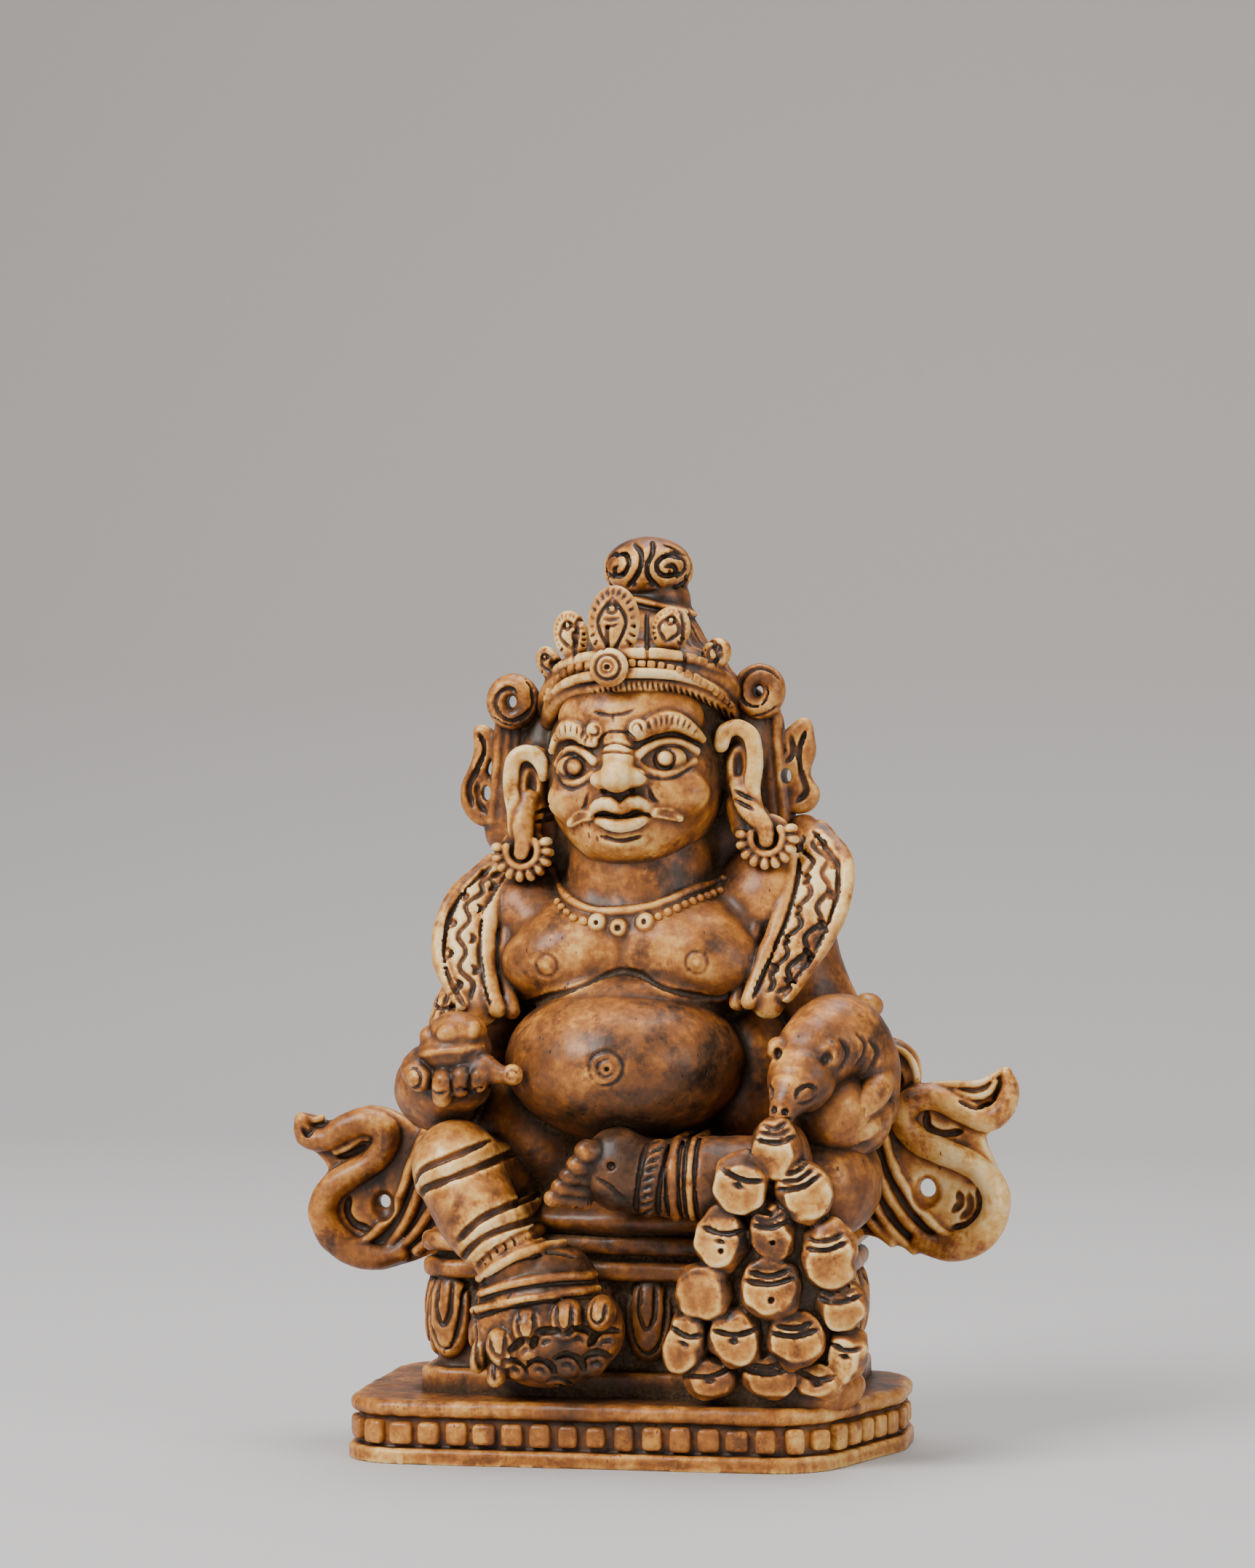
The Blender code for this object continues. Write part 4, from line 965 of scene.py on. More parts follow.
def carve_ears(clay):
    """Ears with a rolled rim and a sunk shell, and flower rings on the lobes."""
    for side, rim, shell, (mx, mz) in EARS:
        clay.egg((rim[4][0] - side * 1.5, -2.4, 64.4 + side * 0.8), (1.9, 2.1, 3.4), blend=0.3)
        clay.bar([(rim[5][0] - side * 1.3, -3.0, 62.0, 1.4), (rim[6][0] - side * 1.0, -3.6, 59.6, 1.2),
                  (mx, -3.8, mz + 0.8, 1.0)], blend=0.3)
        clay.bar([(x, -4.5, z, 0.8) for x, z in rim], blend=0.15, step=0.4, flat=0.6)
        clay.bar([(x - side * 0.5, -2.9, z - 0.3, 1.0) for x, z in rim[1:7]], blend=0.25, flat=1.4)
        clay.egg((np.mean([p[0] for p in shell]) - 0.2 * side, -5.0, np.mean([p[1] for p in shell])),
                 (0.75, 1.3, 1.9), blend=0.2, cut=True)
        clay.egg((mx, -4.0, mz), (2.3, 1.0, 2.3), blend=0.2)
        clay.egg((mx, -5.4, mz), (1.35, 0.9, 1.35), blend=0.15, cut=True)
        hoop = [math.radians(a) for a in range(165, 400, 23)]
        clay.bar([(mx + 1.55 * math.cos(a), -5.2, mz + 1.55 * math.sin(a), 0.36) for a in hoop],
                 blend=0.08, step=0.4)
        for a in hoop[:-1]:
            px, pz = mx + 2.4 * math.cos(a + 0.15), mz + 2.35 * math.sin(a + 0.15)
            clay.egg((px, -4.7, pz), (0.7, 0.9, 0.52), turn=(0, -math.degrees(a), 0), blend=0.12)
        clay.bar([(rim[5][0] - side * 1.3, -4.0, mz + 5.0, 0.9),
                  (rim[6][0] - side * 0.7, -4.6, mz + 3.0, 1.1), (mx - side * 0.2, -5.2, mz + 1.0, 0.9),
                  (mx, -5.4, mz - 0.2, 0.7)], blend=0.25, flat=0.7)
        for lift in (3.6, 2.7):
            clay.groove([(mx - side * 3.2, mz + lift + 0.9), (mx - side * 1.2, mz + lift)], 0.34, 0.35)


carve_ears(head)
head.uneven(0.04, 1.1, 9)
blocks["head_and_ears"] = head
print("head with its ears:", head.bone(), "cm3")

# %% [markdown]
# ## Crown, hair and ribbons
#
# The crown is two rolls with a string of small beads in the hollow between them, a round jewel in front
# and five leaves standing on it. Behind the middle leaf the hair is drawn up through a ring into a knot
# cut with curls. Curves with a round bevel could make the rolls, but they would lie on the head as loose
# tubes. Bars along one shared arch melt into the band behind them, as on the carving.

# %% Crown
# the crown's arch, from one ear over the forehead to the other
ARCH = [(-8.6, 0.5, 70.4), (-7.0, -4.4, 72.9), (-4.3, -7.7, 74.4), (0.6, -9.3, 75.0), (5.7, -7.9, 74.8),
        (9.1, -4.4, 73.4), (10.2, 0.5, 71.2)]


def carve_leaf(clay, middle, radii, lean):
    """A leaf of the crown: an upright shield with a ring and radial cuts round its rim."""
    x, y, z = middle
    clay.egg(middle, radii, turn=(-8, lean, 0), blend=0.2)
    clay.bar([(x, y + 0.6, z - 0.4 * radii[2], 0.8), (0.8 * x, y + 2.6, z - 1.2 * radii[2], 1.2)],
             blend=0.3)
    a = math.radians(-lean)

    def spot(angle, share):
        """A place on the leaf's front, at a share of the way from its middle to its rim."""
        u, v = radii[0] * share * math.cos(angle), radii[2] * share * math.sin(angle)
        return x + u * math.cos(a) - v * math.sin(a), z + u * math.sin(a) + v * math.cos(a)

    broad = radii[0] > 2
    below = 0.9 if broad else 0.62
    for way in (0.0, math.pi):
        clay.groove([spot(-math.pi / 2, below), spot(way, 0.55), spot(math.pi / 2, 0.66)], 0.28, 0.3)
    for t in np.radians(np.linspace(-40, 220, 17)):
        clay.groove([spot(t, 0.72), spot(t, 1.0)], 0.28, 0.34)
    clay.groove(ring(*spot(math.pi / 2, 0.36), 0.14 * radii[0] + 0.1), 0.2, 0.25, closed=True)
    if broad:
        for height in (0.3, -0.3):
            clay.groove([(x - 0.8, z + height), (x, z + height - 0.1), (x + 0.8, z + height + 0.1)],
                        0.24, 0.25)


def carve_crown():
    """Rolls, jewel and leaves on the top of the skull."""
    clay = Clay((-12.5, -13.8, 67.0), (14.0, 12.5, 88.4), FINE)
    clay.egg((1.0, 1.0, 72.8), (9.0, 9.0, 6.6), blend=0.8)  # the top of the skull
    clay.bar([(x, y + 1.1, z, 1.35) for x, y, z in ARCH], blend=0.3)  # the band, its filling, three rolls
    clay.bar([(0.86 * x + 0.1, 0.7 * y + 1.2, z + 0.2, 2.4) for x, y, z in ARCH], blend=0.4)
    clay.bar([(x, y - 0.2, z + 1.3, 0.55) for x, y, z in ARCH], blend=0.1)
    clay.bar([(x, y - 0.6, z - 0.55, 0.5) for x, y, z in ARCH], blend=0.1)
    clay.bar([(x, y + 0.75, z - 1.5, 0.9) for x, y, z in ARCH], blend=0.2)
    for x in np.linspace(-6.6, 10.0, 34):
        z = 73.9 - 0.05 * (x - 1.4) ** 2 + 0.09 * (x - 1.4)
        clay.groove([(x, z - 0.1), (x + 0.1, z - 1.1)], 0.22, 0.3)
    for middle, radii, lean in (
        ((-7.3, -4.6, 75.6), (1.2, 1.3, 1.7), -25),
        ((8.9, -4.6, 76.4), (1.4, 1.3, 1.6), 28),
        ((-4.7, -7.2, 78.2), (1.7, 1.2, 2.4), -12),
        ((4.9, -7.0, 78.7), (1.9, 1.2, 2.2), 12),
        ((-0.3, -8.6, 79.3), (2.5, 1.3, 3.6), 0),
    ):
        carve_leaf(clay, middle, radii, lean)
    clay.egg((-0.4, -10.6, 75.0), (1.85, 1.3, 1.85), blend=0.15)
    clay.groove(ring(-0.4, 75.0, 1.25), 0.3, 0.3, closed=True)
    clay.groove(ring(-0.4, 75.0, 0.62), 0.26, 0.25, closed=True)
    clay.drill(-0.4, 75.0, 0.28, 0.5)
    return clay


crown = carve_crown()
print("crown block", crown.field.shape)

# %% Hair and its knot
# radius and height along each combed strand
COMB = ((9.0, 74.0), (6.4, 77.0), (3.6, 80.4))


def carve_hair(clay):
    """Hair combed up to the knot, a flared ring, and the knot with curls on every side."""
    clay.bar([(1.4, 1.2, 76.0, 6.0), (2.2, 1.0, 78.6, 3.6), (2.5, 1.0, 81.6, 3.0)], blend=0.8)
    clay.egg((2.4, 1.0, 81.3), (3.9, 3.7, 0.75), turn=(0, 14, 0), blend=0.3)
    clay.egg((1.4, 1.0, 84.8), (4.35, 4.2, 3.15), blend=0.25)
    for a in np.radians(np.arange(0, 360, 20)):
        line = [(1.2 + r * math.cos(a), 1.0 + r * math.sin(a), z) for r, z in COMB]
        clay.groove(line, 0.4, 0.28, way=(-math.cos(a) * 0.8, -math.sin(a) * 0.8, -0.6))
    whorls = (
        [(3.6, 84.8), (4.3, 85.0), (4.6, 84.5), (4.0, 83.9), (3.1, 84.2), (2.9, 85.2), (3.8, 86.0),
         (5.0, 85.6)],
        [(-1.0, 85.0), (-1.5, 84.6), (-1.2, 84.0), (-0.4, 84.2), (0.1, 85.2), (-0.4, 86.2), (-1.4, 85.9)],
        [(0.4, 87.2), (1.3, 86.2), (1.3, 84.8), (0.6, 83.6), (-0.2, 82.9)],
        [(2.2, 87.4), (2.4, 86.2), (1.9, 84.8), (2.2, 83.6), (3.0, 82.8)],
        [(3.4, 87.0), (4.4, 86.6), (5.2, 86.0)],
        [(4.2, 83.0), (5.0, 83.4), (5.4, 84.2)],
        [(-2.4, 84.8), (-2.2, 83.6), (-1.4, 82.9)],
    )
    for whorl in whorls:
        clay.groove(whorl, 0.45, 0.45)
        clay.groove([(2.8 - x, z) for x, z in whorl], 0.45, 0.45, way=BACK)
        for way in (LEFT, RIGHT):
            clay.groove([(x - 0.8, z) for x, z in whorl[1:]], 0.45, 0.45, way=way)


carve_hair(crown)
crown.uneven(0.03, 1.2, 10)
blocks["crown_and_hair"] = crown
print("crown and hair:", crown.bone(), "cm3")

# %% [markdown]
# ### The crown's ribbons
#
# The crown's ribbon is tied over each ear in a pierced roll, hangs in folds behind the ear and ends in a
# fluttering tip. Simulated cloth would fall too softly for bone. So the roll is a closed bar with a coil
# cut into it, the folds are bars side by side, and each tip is a plate cut out along a drawn outline.

# %% Ribbons of the crown
def upright_plate(clay, outline, middle, half, edge=0.5, blend=0.3):
    """Joins a plate that stands in the picture's plane, half a thickness either side of a middle Y."""
    _, _, y, _ = clay.window()
    away = flat_distance(clay, outline, 2)[:, None, :]
    plate = -soft_min(-away, half - np.abs(y - middle), edge)
    clay.field[:] = soft_min(clay.field, plate.astype(np.float32), blend)


def carve_ribbons():
    """A pierced roll over each ear, folds behind the ear, and a fluttering tip."""
    clay = Clay((-18.6, -4.6, 56.0), (19.2, 7.0, 76.6))
    for side, (x, z), low_x in ((-1, (-11.6, 72.0), -12.2), (1, (12.5, 72.9), 13.0)):
        turns = [math.radians(a) for a in range(0, 360, 45)]
        clay.bar([(x + 1.45 * math.cos(a), -0.8, z + 1.6 * math.sin(a), 1.15) for a in turns],
                 blend=0.15, flat=1.4, closed=True)
        coil = [(0.85 + 0.0042 * turn, math.radians(-side * turn + 40)) for turn in range(0, 400, 25)]
        clay.groove([(x + r * math.cos(a), z + 1.05 * r * math.sin(a)) for r, a in coil], 0.36, 0.42)
        clay.groove([(x - side * 0.6, z - 2.4), (x + side * 0.6, z - 2.2), (x + side * 2.0, z - 1.4)],
                    0.34, 0.35)
        clay.egg((x, -0.8, z), (0.5, 7.0, 0.55), blend=0.1, cut=True)
        for fold in range(4):
            fx = x + side * (0.9 * fold - 1.3)
            clay.bar([(fx, 0.2, z - 2.0, 0.6), (fx + side * 0.3, 0.5, 66.0, 0.65),
                      (fx + side * 0.8, 0.6, 60.6, 0.75)], blend=0.12, flat=1.5)
        clay.bar([(x, 1.8, z - 3, 2.0), (low_x, 2.2, 59.5, 2.8)], blend=0.3)
    wings = (
        ([(-15.8, 69.5), (-14.7, 69.8), (-13.6, 68.9), (-13.2, 67.5), (-14.0, 66.4), (-14.4, 65.2),
          (-13.6, 64.0), (-13.4, 62.0), (-14.1, 60.2), (-15.1, 59.9), (-16.3, 60.7), (-17.1, 62.0),
          (-17.1, 64.0), (-16.3, 65.6), (-15.8, 67.4)],
         ([(-15.2, 69.0), (-14.6, 67.4), (-15.4, 65.4), (-16.2, 63.6), (-15.8, 61.8)],
          [(-15.4, 64.2), (-15.2, 62.2), (-14.4, 61.2)]),
         (-14.5, 63.1)),
        ([(16.6, 70.4), (17.4, 69.8), (17.7, 67.1), (17.2, 64.9), (18.1, 63.2), (17.5, 61.6),
          (15.9, 61.1), (14.4, 61.8), (13.6, 63.6), (13.8, 65.5), (14.8, 67.1), (14.4, 68.7), (15.6, 69.9)],
         ([(16.9, 69.2), (16.2, 67.2), (16.4, 65.2), (16.9, 63.4), (16.0, 62.2)],
          [(15.4, 68.6), (15.6, 67.0), (15.0, 66.0)]),
         (14.9, 64.8)),
    )
    for outline, lines, (hx, hz) in wings:
        upright_plate(clay, [tuple(place) for place in spline(outline, 0.6, True)], 0.9, 0.9, 0.7)
        for line in lines:
            clay.groove(line, 0.5, 0.45)
            clay.groove(line, 0.4, 0.3, way=BACK)
        clay.egg((hx, 1.0, hz), (0.5, 3.0, 0.75), blend=0.1, cut=True)
    clay.uneven(0.08, 1.4, 11)
    return clay


blocks["crown_ribbons"] = carve_ribbons()
print("ribbon block", blocks["crown_ribbons"].field.shape)

# %% [markdown]
# ## The ends of the long scarf
#
# The scarf falls behind the arms and its ends curl out beside the throne like two flames. They are cut
# from a thin wing of bone: a broad rolled edge follows the S of the cloth, the web inside it is sunk, and
# raised ribs run up to the arm. A flat mesh with a Solidify modifier would be even all over, and a carver's
# isn't. So a plate gives the web, bars give the edge and the ribs, and the hole is drilled right through.

# %% Scarf ends
# lines are drawn as (x, z), bars as (x, z, radius); what curls above CURL_TOP lies further back
CURL_TOP = 36.5
LEFT_END = {
    "y": 4.4, "low": (-36.2, -0.5, 14.0), "high": (-13.0, 9.6, 38.0), "hole": (-25.9, 22.7, 0.6),
    "falls": ([(-16.8, 32.0, 2.2), (-20.6, 24.4, 2.4), (-24.4, 19.4, 1.8)],
              [(-18.8, 34.0, 2.0), (-22.4, 28.4, 1.8)]),
    "web": [(-17.0, 33.0), (-21.5, 30.0), (-23.4, 30.9), (-25.2, 31.8), (-27.6, 32.2), (-29.6, 31.3),
            (-31.6, 30.6), (-34.2, 31.3), (-34.6, 29.0), (-32.4, 27.2), (-31.4, 25.8), (-32.6, 23.8),
            (-33.0, 21.6), (-32.0, 19.0), (-29.8, 16.9), (-26.6, 16.0), (-22.6, 17.0), (-19.0, 19.0),
            (-16.0, 25.0)],
    "band": [(-34.0, 30.6, 0.9), (-33.6, 29.2, 1.1), (-31.6, 28.8, 1.2), (-29.6, 30.0, 1.35),
             (-27.5, 30.7, 1.4), (-25.7, 30.0, 1.4), (-25.5, 28.4, 1.3), (-27.0, 26.6, 1.25),
             (-29.0, 25.4, 1.35), (-31.0, 24.0, 1.4), (-31.9, 22.0, 1.45), (-31.3, 19.9, 1.5),
             (-29.5, 18.2, 1.5), (-27.0, 17.3, 1.35), (-24.0, 17.7, 0.9)],
    "ribs": ([(-20.6, 31.5), (-22.8, 26.9), (-23.6, 24.5), (-24.7, 21.9), (-26.5, 19.8), (-28.1, 18.5)],
             [(-19.6, 29.0), (-22.0, 24.3), (-22.9, 21.9), (-24.2, 19.6), (-25.6, 17.9)],
             [(-18.4, 26.5), (-21.0, 21.9), (-22.6, 19.6), (-24.4, 18.0)],
             [(-17.0, 24.0), (-19.6, 20.6), (-22.4, 18.0)]),
    "curls": ([(-30.6, 27.7), (-29.3, 28.2), (-28.0, 29.1), (-27.2, 29.1)],
              [(-34.0, 31.0), (-32.9, 30.7), (-32.0, 31.0)]),
    "folds": (),
    "pits": ([(-30.5, 27.1), (-29.2, 27.4), (-27.6, 28.2)],
             [(-29.2, 23.1), (-29.5, 21.7), (-28.7, 20.5), (-27.2, 20.0)],
             [(-33.6, 30.0), (-33.2, 29.5), (-32.7, 29.9)]),
}
RIGHT_END = {
    "y": 5.2, "low": (17.0, 0.5, 15.0), "high": (38.4, 10.4, 41.0), "hole": (27.9, 24.8, 0.8),
    "falls": ([(21.0, 35.0, 2.4), (22.4, 28.6, 2.4), (25.0, 22.6, 2.0)],
              [(22.6, 34.0, 2.2), (24.6, 30.0, 1.8)]),
    "web": [(19.0, 34.0), (24.6, 33.4), (26.8, 34.6), (29.5, 35.0), (32.6, 35.1), (35.0, 36.4),
            (36.0, 34.5), (35.2, 31.6), (33.6, 29.8), (34.6, 27.0), (35.0, 24.0), (34.2, 21.0),
            (31.2, 18.5), (27.6, 18.4), (23.0, 20.0), (19.4, 22.0)],
    "band": [(35.6, 36.2, 0.6), (36.0, 34.6, 0.9), (35.3, 32.7, 1.15), (33.8, 31.6, 1.2), (31.3, 32.5, 1.2),
             (28.8, 33.7, 1.3), (26.6, 33.4, 1.35), (25.6, 31.6, 1.3), (26.9, 29.6, 1.25),
             (29.2, 28.6, 1.3), (31.5, 27.7, 1.3), (33.6, 26.2, 1.35), (34.7, 24.2, 1.35),
             (34.3, 21.9, 1.4), (32.6, 20.0, 1.5), (30.0, 19.2, 1.4), (27.2, 19.7, 0.9)],
    "ribs": ([(21.6, 35.5), (23.4, 31.6), (24.6, 27.3), (26.9, 23.3), (29.4, 20.6), (31.0, 19.6)],
             [(20.8, 33.5), (22.3, 29.3), (23.4, 25.8), (25.4, 22.3), (27.9, 19.8)],
             [(20.4, 30.5), (21.6, 26.8), (22.6, 23.8), (24.4, 20.8), (26.7, 18.9)],
             [(19.6, 27.5), (20.6, 24.6), (22.4, 21.6), (24.6, 19.6)]),
    "curls": ([(28.6, 34.9), (31.0, 35.0), (33.0, 35.1), (35.0, 36.2)],
              [(30.8, 34.2), (32.6, 33.8), (34.0, 34.3), (34.6, 35.3)],
              [(22.6, 38.9), (25.6, 38.0), (26.9, 36.2), (27.0, 34.4)]),
    "folds": (((23.8, 7.2, 36.0), (3.5, 1.3, 3.4)),),
    "pits": ([(31.2, 33.5), (32.8, 32.9), (34.2, 33.2), (34.8, 34.4)],
             [(27.9, 32.3), (28.0, 30.9), (29.4, 30.2), (31.4, 30.4)],
             [(32.0, 24.4), (32.1, 23.0), (31.2, 21.9)], [(31.0, 24.6), (31.2, 23.5), (30.4, 22.6)],
             [(32.9, 25.0), (33.0, 23.0), (31.8, 21.5), (30.4, 21.1)],
             [(22.6, 37.2), (24.2, 36.8), (25.2, 35.6), (25.2, 34.4)]),
}


def carve_end(end):
    """One end: a sunk web, a broad band along its S, raised ribs, small curls, pits and a drilled hole."""
    clay = Clay(end["low"], end["high"])
    y = end["y"]
    for fall in end["falls"]:
        clay.bar([(px, y + 2.0, pz, r) for px, pz, r in fall], blend=0.5, flat=0.7)
    for middle, radii in end["folds"]:
        clay.egg(middle, radii, blend=0.3)
    upright_plate(clay, [tuple(place) for place in spline(end["web"], 1.0, True)], y + 1.3, 1.0)
    clay.bar([(px, y + 0.2, pz, r) for px, pz, r in end["band"]], blend=0.3, flat=1.15)
    for rib in end["ribs"]:
        clay.bar([(px, y + 0.2, pz, 0.5) for px, pz in rib], blend=0.3, flat=1.5)
    for curl in end["curls"]:
        clay.bar([(px, y + (0.1 if pz < CURL_TOP else 0.9), pz, 0.36) for px, pz in curl], blend=0.15)
    for pit in end["pits"]:
        clay.groove(pit, 0.7, 0.6, blend=0.15)
    clay.groove([(px, pz) for px, pz, _ in end["band"]], 0.35, 0.3, way=BACK)
    hx, hz, r = end["hole"]
    clay.egg((hx, y, hz), (r, 5.0, r * 1.15), blend=0.1, cut=True)
    clay.egg((hx + 0.1, y - 0.1, hz - 0.3), (r + 0.7, 1.3, r + 1.0), blend=0.3, cut=True)
    clay.uneven(0.08, 1.5, 12)
    return clay


blocks["scarf_end_left"] = carve_end(LEFT_END)
blocks["scarf_end_right"] = carve_end(RIGHT_END)
print("scarf end blocks", blocks["scarf_end_left"].field.shape, blocks["scarf_end_right"].field.shape)

# %% [markdown]
# ## Hollows, rubbed edges and tone
#
# Old carved bone tells its age by colour: stain and dirt stay in every hollow, and hands keep the edges
# pale. The darkening in hollows and between parts is also painted shade: the more bone crowds round a
# spot, the darker it is made. Ambient occlusion and Pointiness nodes could find these places, but they give
# nothing to an export. So it is worked out once and stored on the mesh. All blocks are gathered into one
# heap, which is blurred, and the heap then says how deep a spot lies between its neighbours. The block's own
# blurred distances tell the same for single cuts.

# %% The heap and its blurs
def blurred(field, reach, passes):
    """The field averaged over a box of cells each way, several times over."""
    width = 2 * reach + 1
    for _ in range(passes):
        for axis in range(3):
            pad = [(reach + 1, reach) if a == axis else (0, 0) for a in range(3)]
            total = np.cumsum(np.pad(field, pad, mode="edge"), axis=axis, dtype=np.float32)
            ahead, behind = [slice(None)] * 3, [slice(None)] * 3
            ahead[axis], behind[axis] = slice(width, None), slice(0, -width)
            field = (total[tuple(ahead)] - total[tuple(behind)]) / width
    return field


def gather(heap, block):
    """Marks in the heap how full of bone each of its cells is."""
    picks, places = [], []
    for axis in range(3):
        g = (heap.corner[axis] + np.arange(heap.field.shape[axis])) * heap.cell
        i = np.rint(g / block.cell - block.corner[axis]).astype(int)
        ok = (i >= 0) & (i < block.field.shape[axis])
        places.append(np.flatnonzero(ok))
        picks.append(i[ok])
    solid = np.clip(0.5 - block.field[np.ix_(*picks)] / heap.cell, 0, 1)
    here = np.ix_(*places)
    heap.field[here] = np.maximum(heap.field[here], solid)


heap = Clay((-38.0, -20.0, -2.0), (38.0, 19.0, 90.0), 0.4)
heap.field[:] = 0
for block in blocks.values():
    gather(heap, block)
crowding = {"near": blurred(heap.field, 1, 3), "far": blurred(heap.field, 4, 3)}
print("heap", heap.field.shape, "bone volume", round(float(heap.field.sum()) * heap.cell**3 / 1000, 1),
      "cm3")

# %% [markdown]
# ### Tone by region, with painted light and shade on the belly
#
# Not every shade follows from depth: the face, the knee and one scarf end are rubbed pale, the lotus and
# the lap are nearly black. Some spots are painted light and shade: the top of the belly is made paler and
# its lower part darker, as light from above leaves them. A painted mask would need a picture. A few soft
# round spots, each with a place, a reach and an amount, say the same in numbers that can be changed one by
# one.

# %% Spots of tone, of painted light and shade, and of dirt
TONE_AND_SHADING_SPOTS = (
    # x, y, z, reach, amount: pale above nought, dark below
    (0.7, -9, 66.0, 8.5, 0.24), (0.7, -10, 58.5, 4, 0.12), (-0.4, -12, 75, 2.5, 0.22), (-5, -8, 62, 3, 0.1),
    (0.8, -12, 61.2, 2.4, -0.24), (-4.2, -9.4, 65.7, 1.9, -0.3), (4.6, -9.4, 66.4, 2.1, -0.3),
    (1, -8, 72.6, 2.6, -0.1), (-10, -4, 61, 4, 0.08), (13, -4, 63, 5, 0.08), (-10, -5, 57, 2.6, -0.14),
    (13.8, -5, 58.6, 2.6, -0.14), (-3.5, -9, 49.5, 3.6, 0.2), (4.5, -9, 49.5, 3.6, 0.22),
    (-6, -10, 44.6, 4, 0.1), (33, 4, 27, 8, 0.34), (-31, 3, 24, 7, -0.03), (19, -4, 54, 5, 0.3),
    (-16, -5, 50, 4, 0.2), (-10, -17, 23, 5, 0.2), (-16, -16, 29, 4, 0.16), (-15.5, -15, 40.5, 2.4, 0.08),
    # painted light and shade: the spot at (-1, -16, 40) makes the top of the belly paler, the one at (0,
    # -16, 31.0) its lower part darker
    (-1.6, -18, 30.0, 1.4, 0.2), (-1, -16, 40, 6, 0.12), (0, -16, 31.0, 6, -0.2), (9, -14, 37.0, 5, -0.2),
    (2, -9, 14, 12, -0.16), (1.3, 0, 85, 5, -0.12), (3, -16, 26, 6, -0.22), (-3, -17, 10, 4.5, -0.34),
    (-5, -17, 19, 3, -0.14), (-7, -18, 13.4, 3.4, 0.14), (17, -16, 34, 3, -0.16),
    (-13, -15, 35.5, 3, -0.16), (0, 10, 40, 22, -0.08), (0, 12, 75, 14, -0.06), (20, -10, 42, 4, 0.06),
    (8.5, -16, 28, 3.5, 0.06), (15, -15, 9, 8, -0.12), (15.5, -15, 19, 9, -0.1),
    (17.4, -15.5, 37.2, 2, 0.3), (21.5, -12, 43, 3, 0.12), (23.2, -11, 34, 3, 0.14),
    (19.5, -14, 36, 2.2, -0.2), (16.4, -16, 33.8, 1.4, -0.12), (20, -11, 40.5, 2.4, -0.08),
    (-16, -6, 14, 5, -0.08), (0, -17, 5.4, 14, 0.04), (20, -12, 5.6, 6, 0.12), (-22, -14, 5.6, 5, 0.1),
    (0, -6, 72.5, 6, 0.04), (7.8, -6, 64.5, 2.8, -0.2), (-6.9, -7, 67, 1.8, -0.14),
    (8.2, -6, 70, 2.6, -0.16), (3.4, -10, 70.8, 2, 0.1), (5.6, -8, 60.6, 2.4, -0.08),
    (0.8, -7, 56.2, 2.6, -0.1), (-5.6, -9, 63, 1.6, -0.08), (-4, -10, 71, 2, 0.08),
    (-4.05, -10.4, 65.6, 0.8, 0.5), (4.7, -10.2, 66.4, 0.8, 0.5),
)
DIRT = (
    # x, y, z, reach, amount
    (2, -9, 21, 6, 0.8), (-4, -10, 30, 5, 0.9), (6, -9, 11, 6, 0.9), (-15, -10, 16, 6, 0.4),
    (3, -12, 7, 7, 0.8), (-4, -9, 24, 4, 0.9),
)
MIDDLE_SHADE = 0.49
JEWEL_LIFT = -0.01
HOLLOW_STAIN_AND_SHADE = 0.6
BLUR_REACH = 0.3


def blobs(places, spots):
    """The sum of soft round spots at the given places."""
    total = np.zeros(len(places))
    for x, y, z, reach, amount in spots:
        total += amount * np.exp(-((places - [x, y, z]) ** 2).sum(1) / reach**2)
    return total


def paint(obj, block=None, lift=0.0, facets=()):
    """Stores how pale, how dirty and how rubbed each spot of a piece is, painted shade included, as mesh
    attributes.
    """
    places = np.empty(len(obj.data.vertices) * 3, np.float32)
    obj.data.vertices.foreach_get("co", places)
    places = places.reshape(-1, 3).astype(float) / MM
    near = heap.sample(places, crowding["near"]) - 0.5
    far = heap.sample(places, crowding["far"]) - 0.5
    fine = np.zeros(len(places))
    if block is not None:
        reach = max(1, int(BLUR_REACH / block.cell))
        fine = block.sample(places, blurred(np.clip(block.field, -0.8, 0.8), reach, 2))
    # painted shade as well as stain: spots crowded by bone, in hollows and between parts, are darkened, and
    # open spots are made paler
    hollow = np.clip(near * 1.6, 0, 1) + np.clip(far * 1.4, 0, 1)
    edges = np.clip(fine * 3.6, -0.5, 0.36) - 0.35 * np.minimum(near, 0)
    shade = MIDDLE_SHADE + lift + blobs(places, TONE_AND_SHADING_SPOTS) + edges - HOLLOW_STAIN_AND_SHADE * hollow
    # the filed faces of the jewels: paler as rubbed bone and as a painted highlight
    for spot, outward, reach, amount in facets:
        above = np.abs((places - spot) @ np.array(outward))
        inside = np.linalg.norm(places - spot, axis=1) < reach
        shade += amount * inside * np.clip((0.3 - above) / 0.15, 0, 1)
    # the dirt layer follows the same crowding, so it lays painted shade in the hollows as well as dirt
    dirt_and_shade = np.clip(hollow * 1.3 + blobs(places, DIRT) * np.clip(0.3 + hollow * 2, 0, 1) - 0.25, 0, 1)
    polish = np.clip(0.5 + fine * 3 - near * 2.0, 0, 1)
    for name, values in (("shade", np.clip(shade, 0, 1)), ("grime", dirt_and_shade), ("polish", polish)):
        stored = obj.data.attributes.new(name, "FLOAT", "POINT")
        stored.data.foreach_set("value", values.astype(np.float32))


print(len(TONE_AND_SHADING_SPOTS), "spots of tone and", len(DIRT), "of dirt")

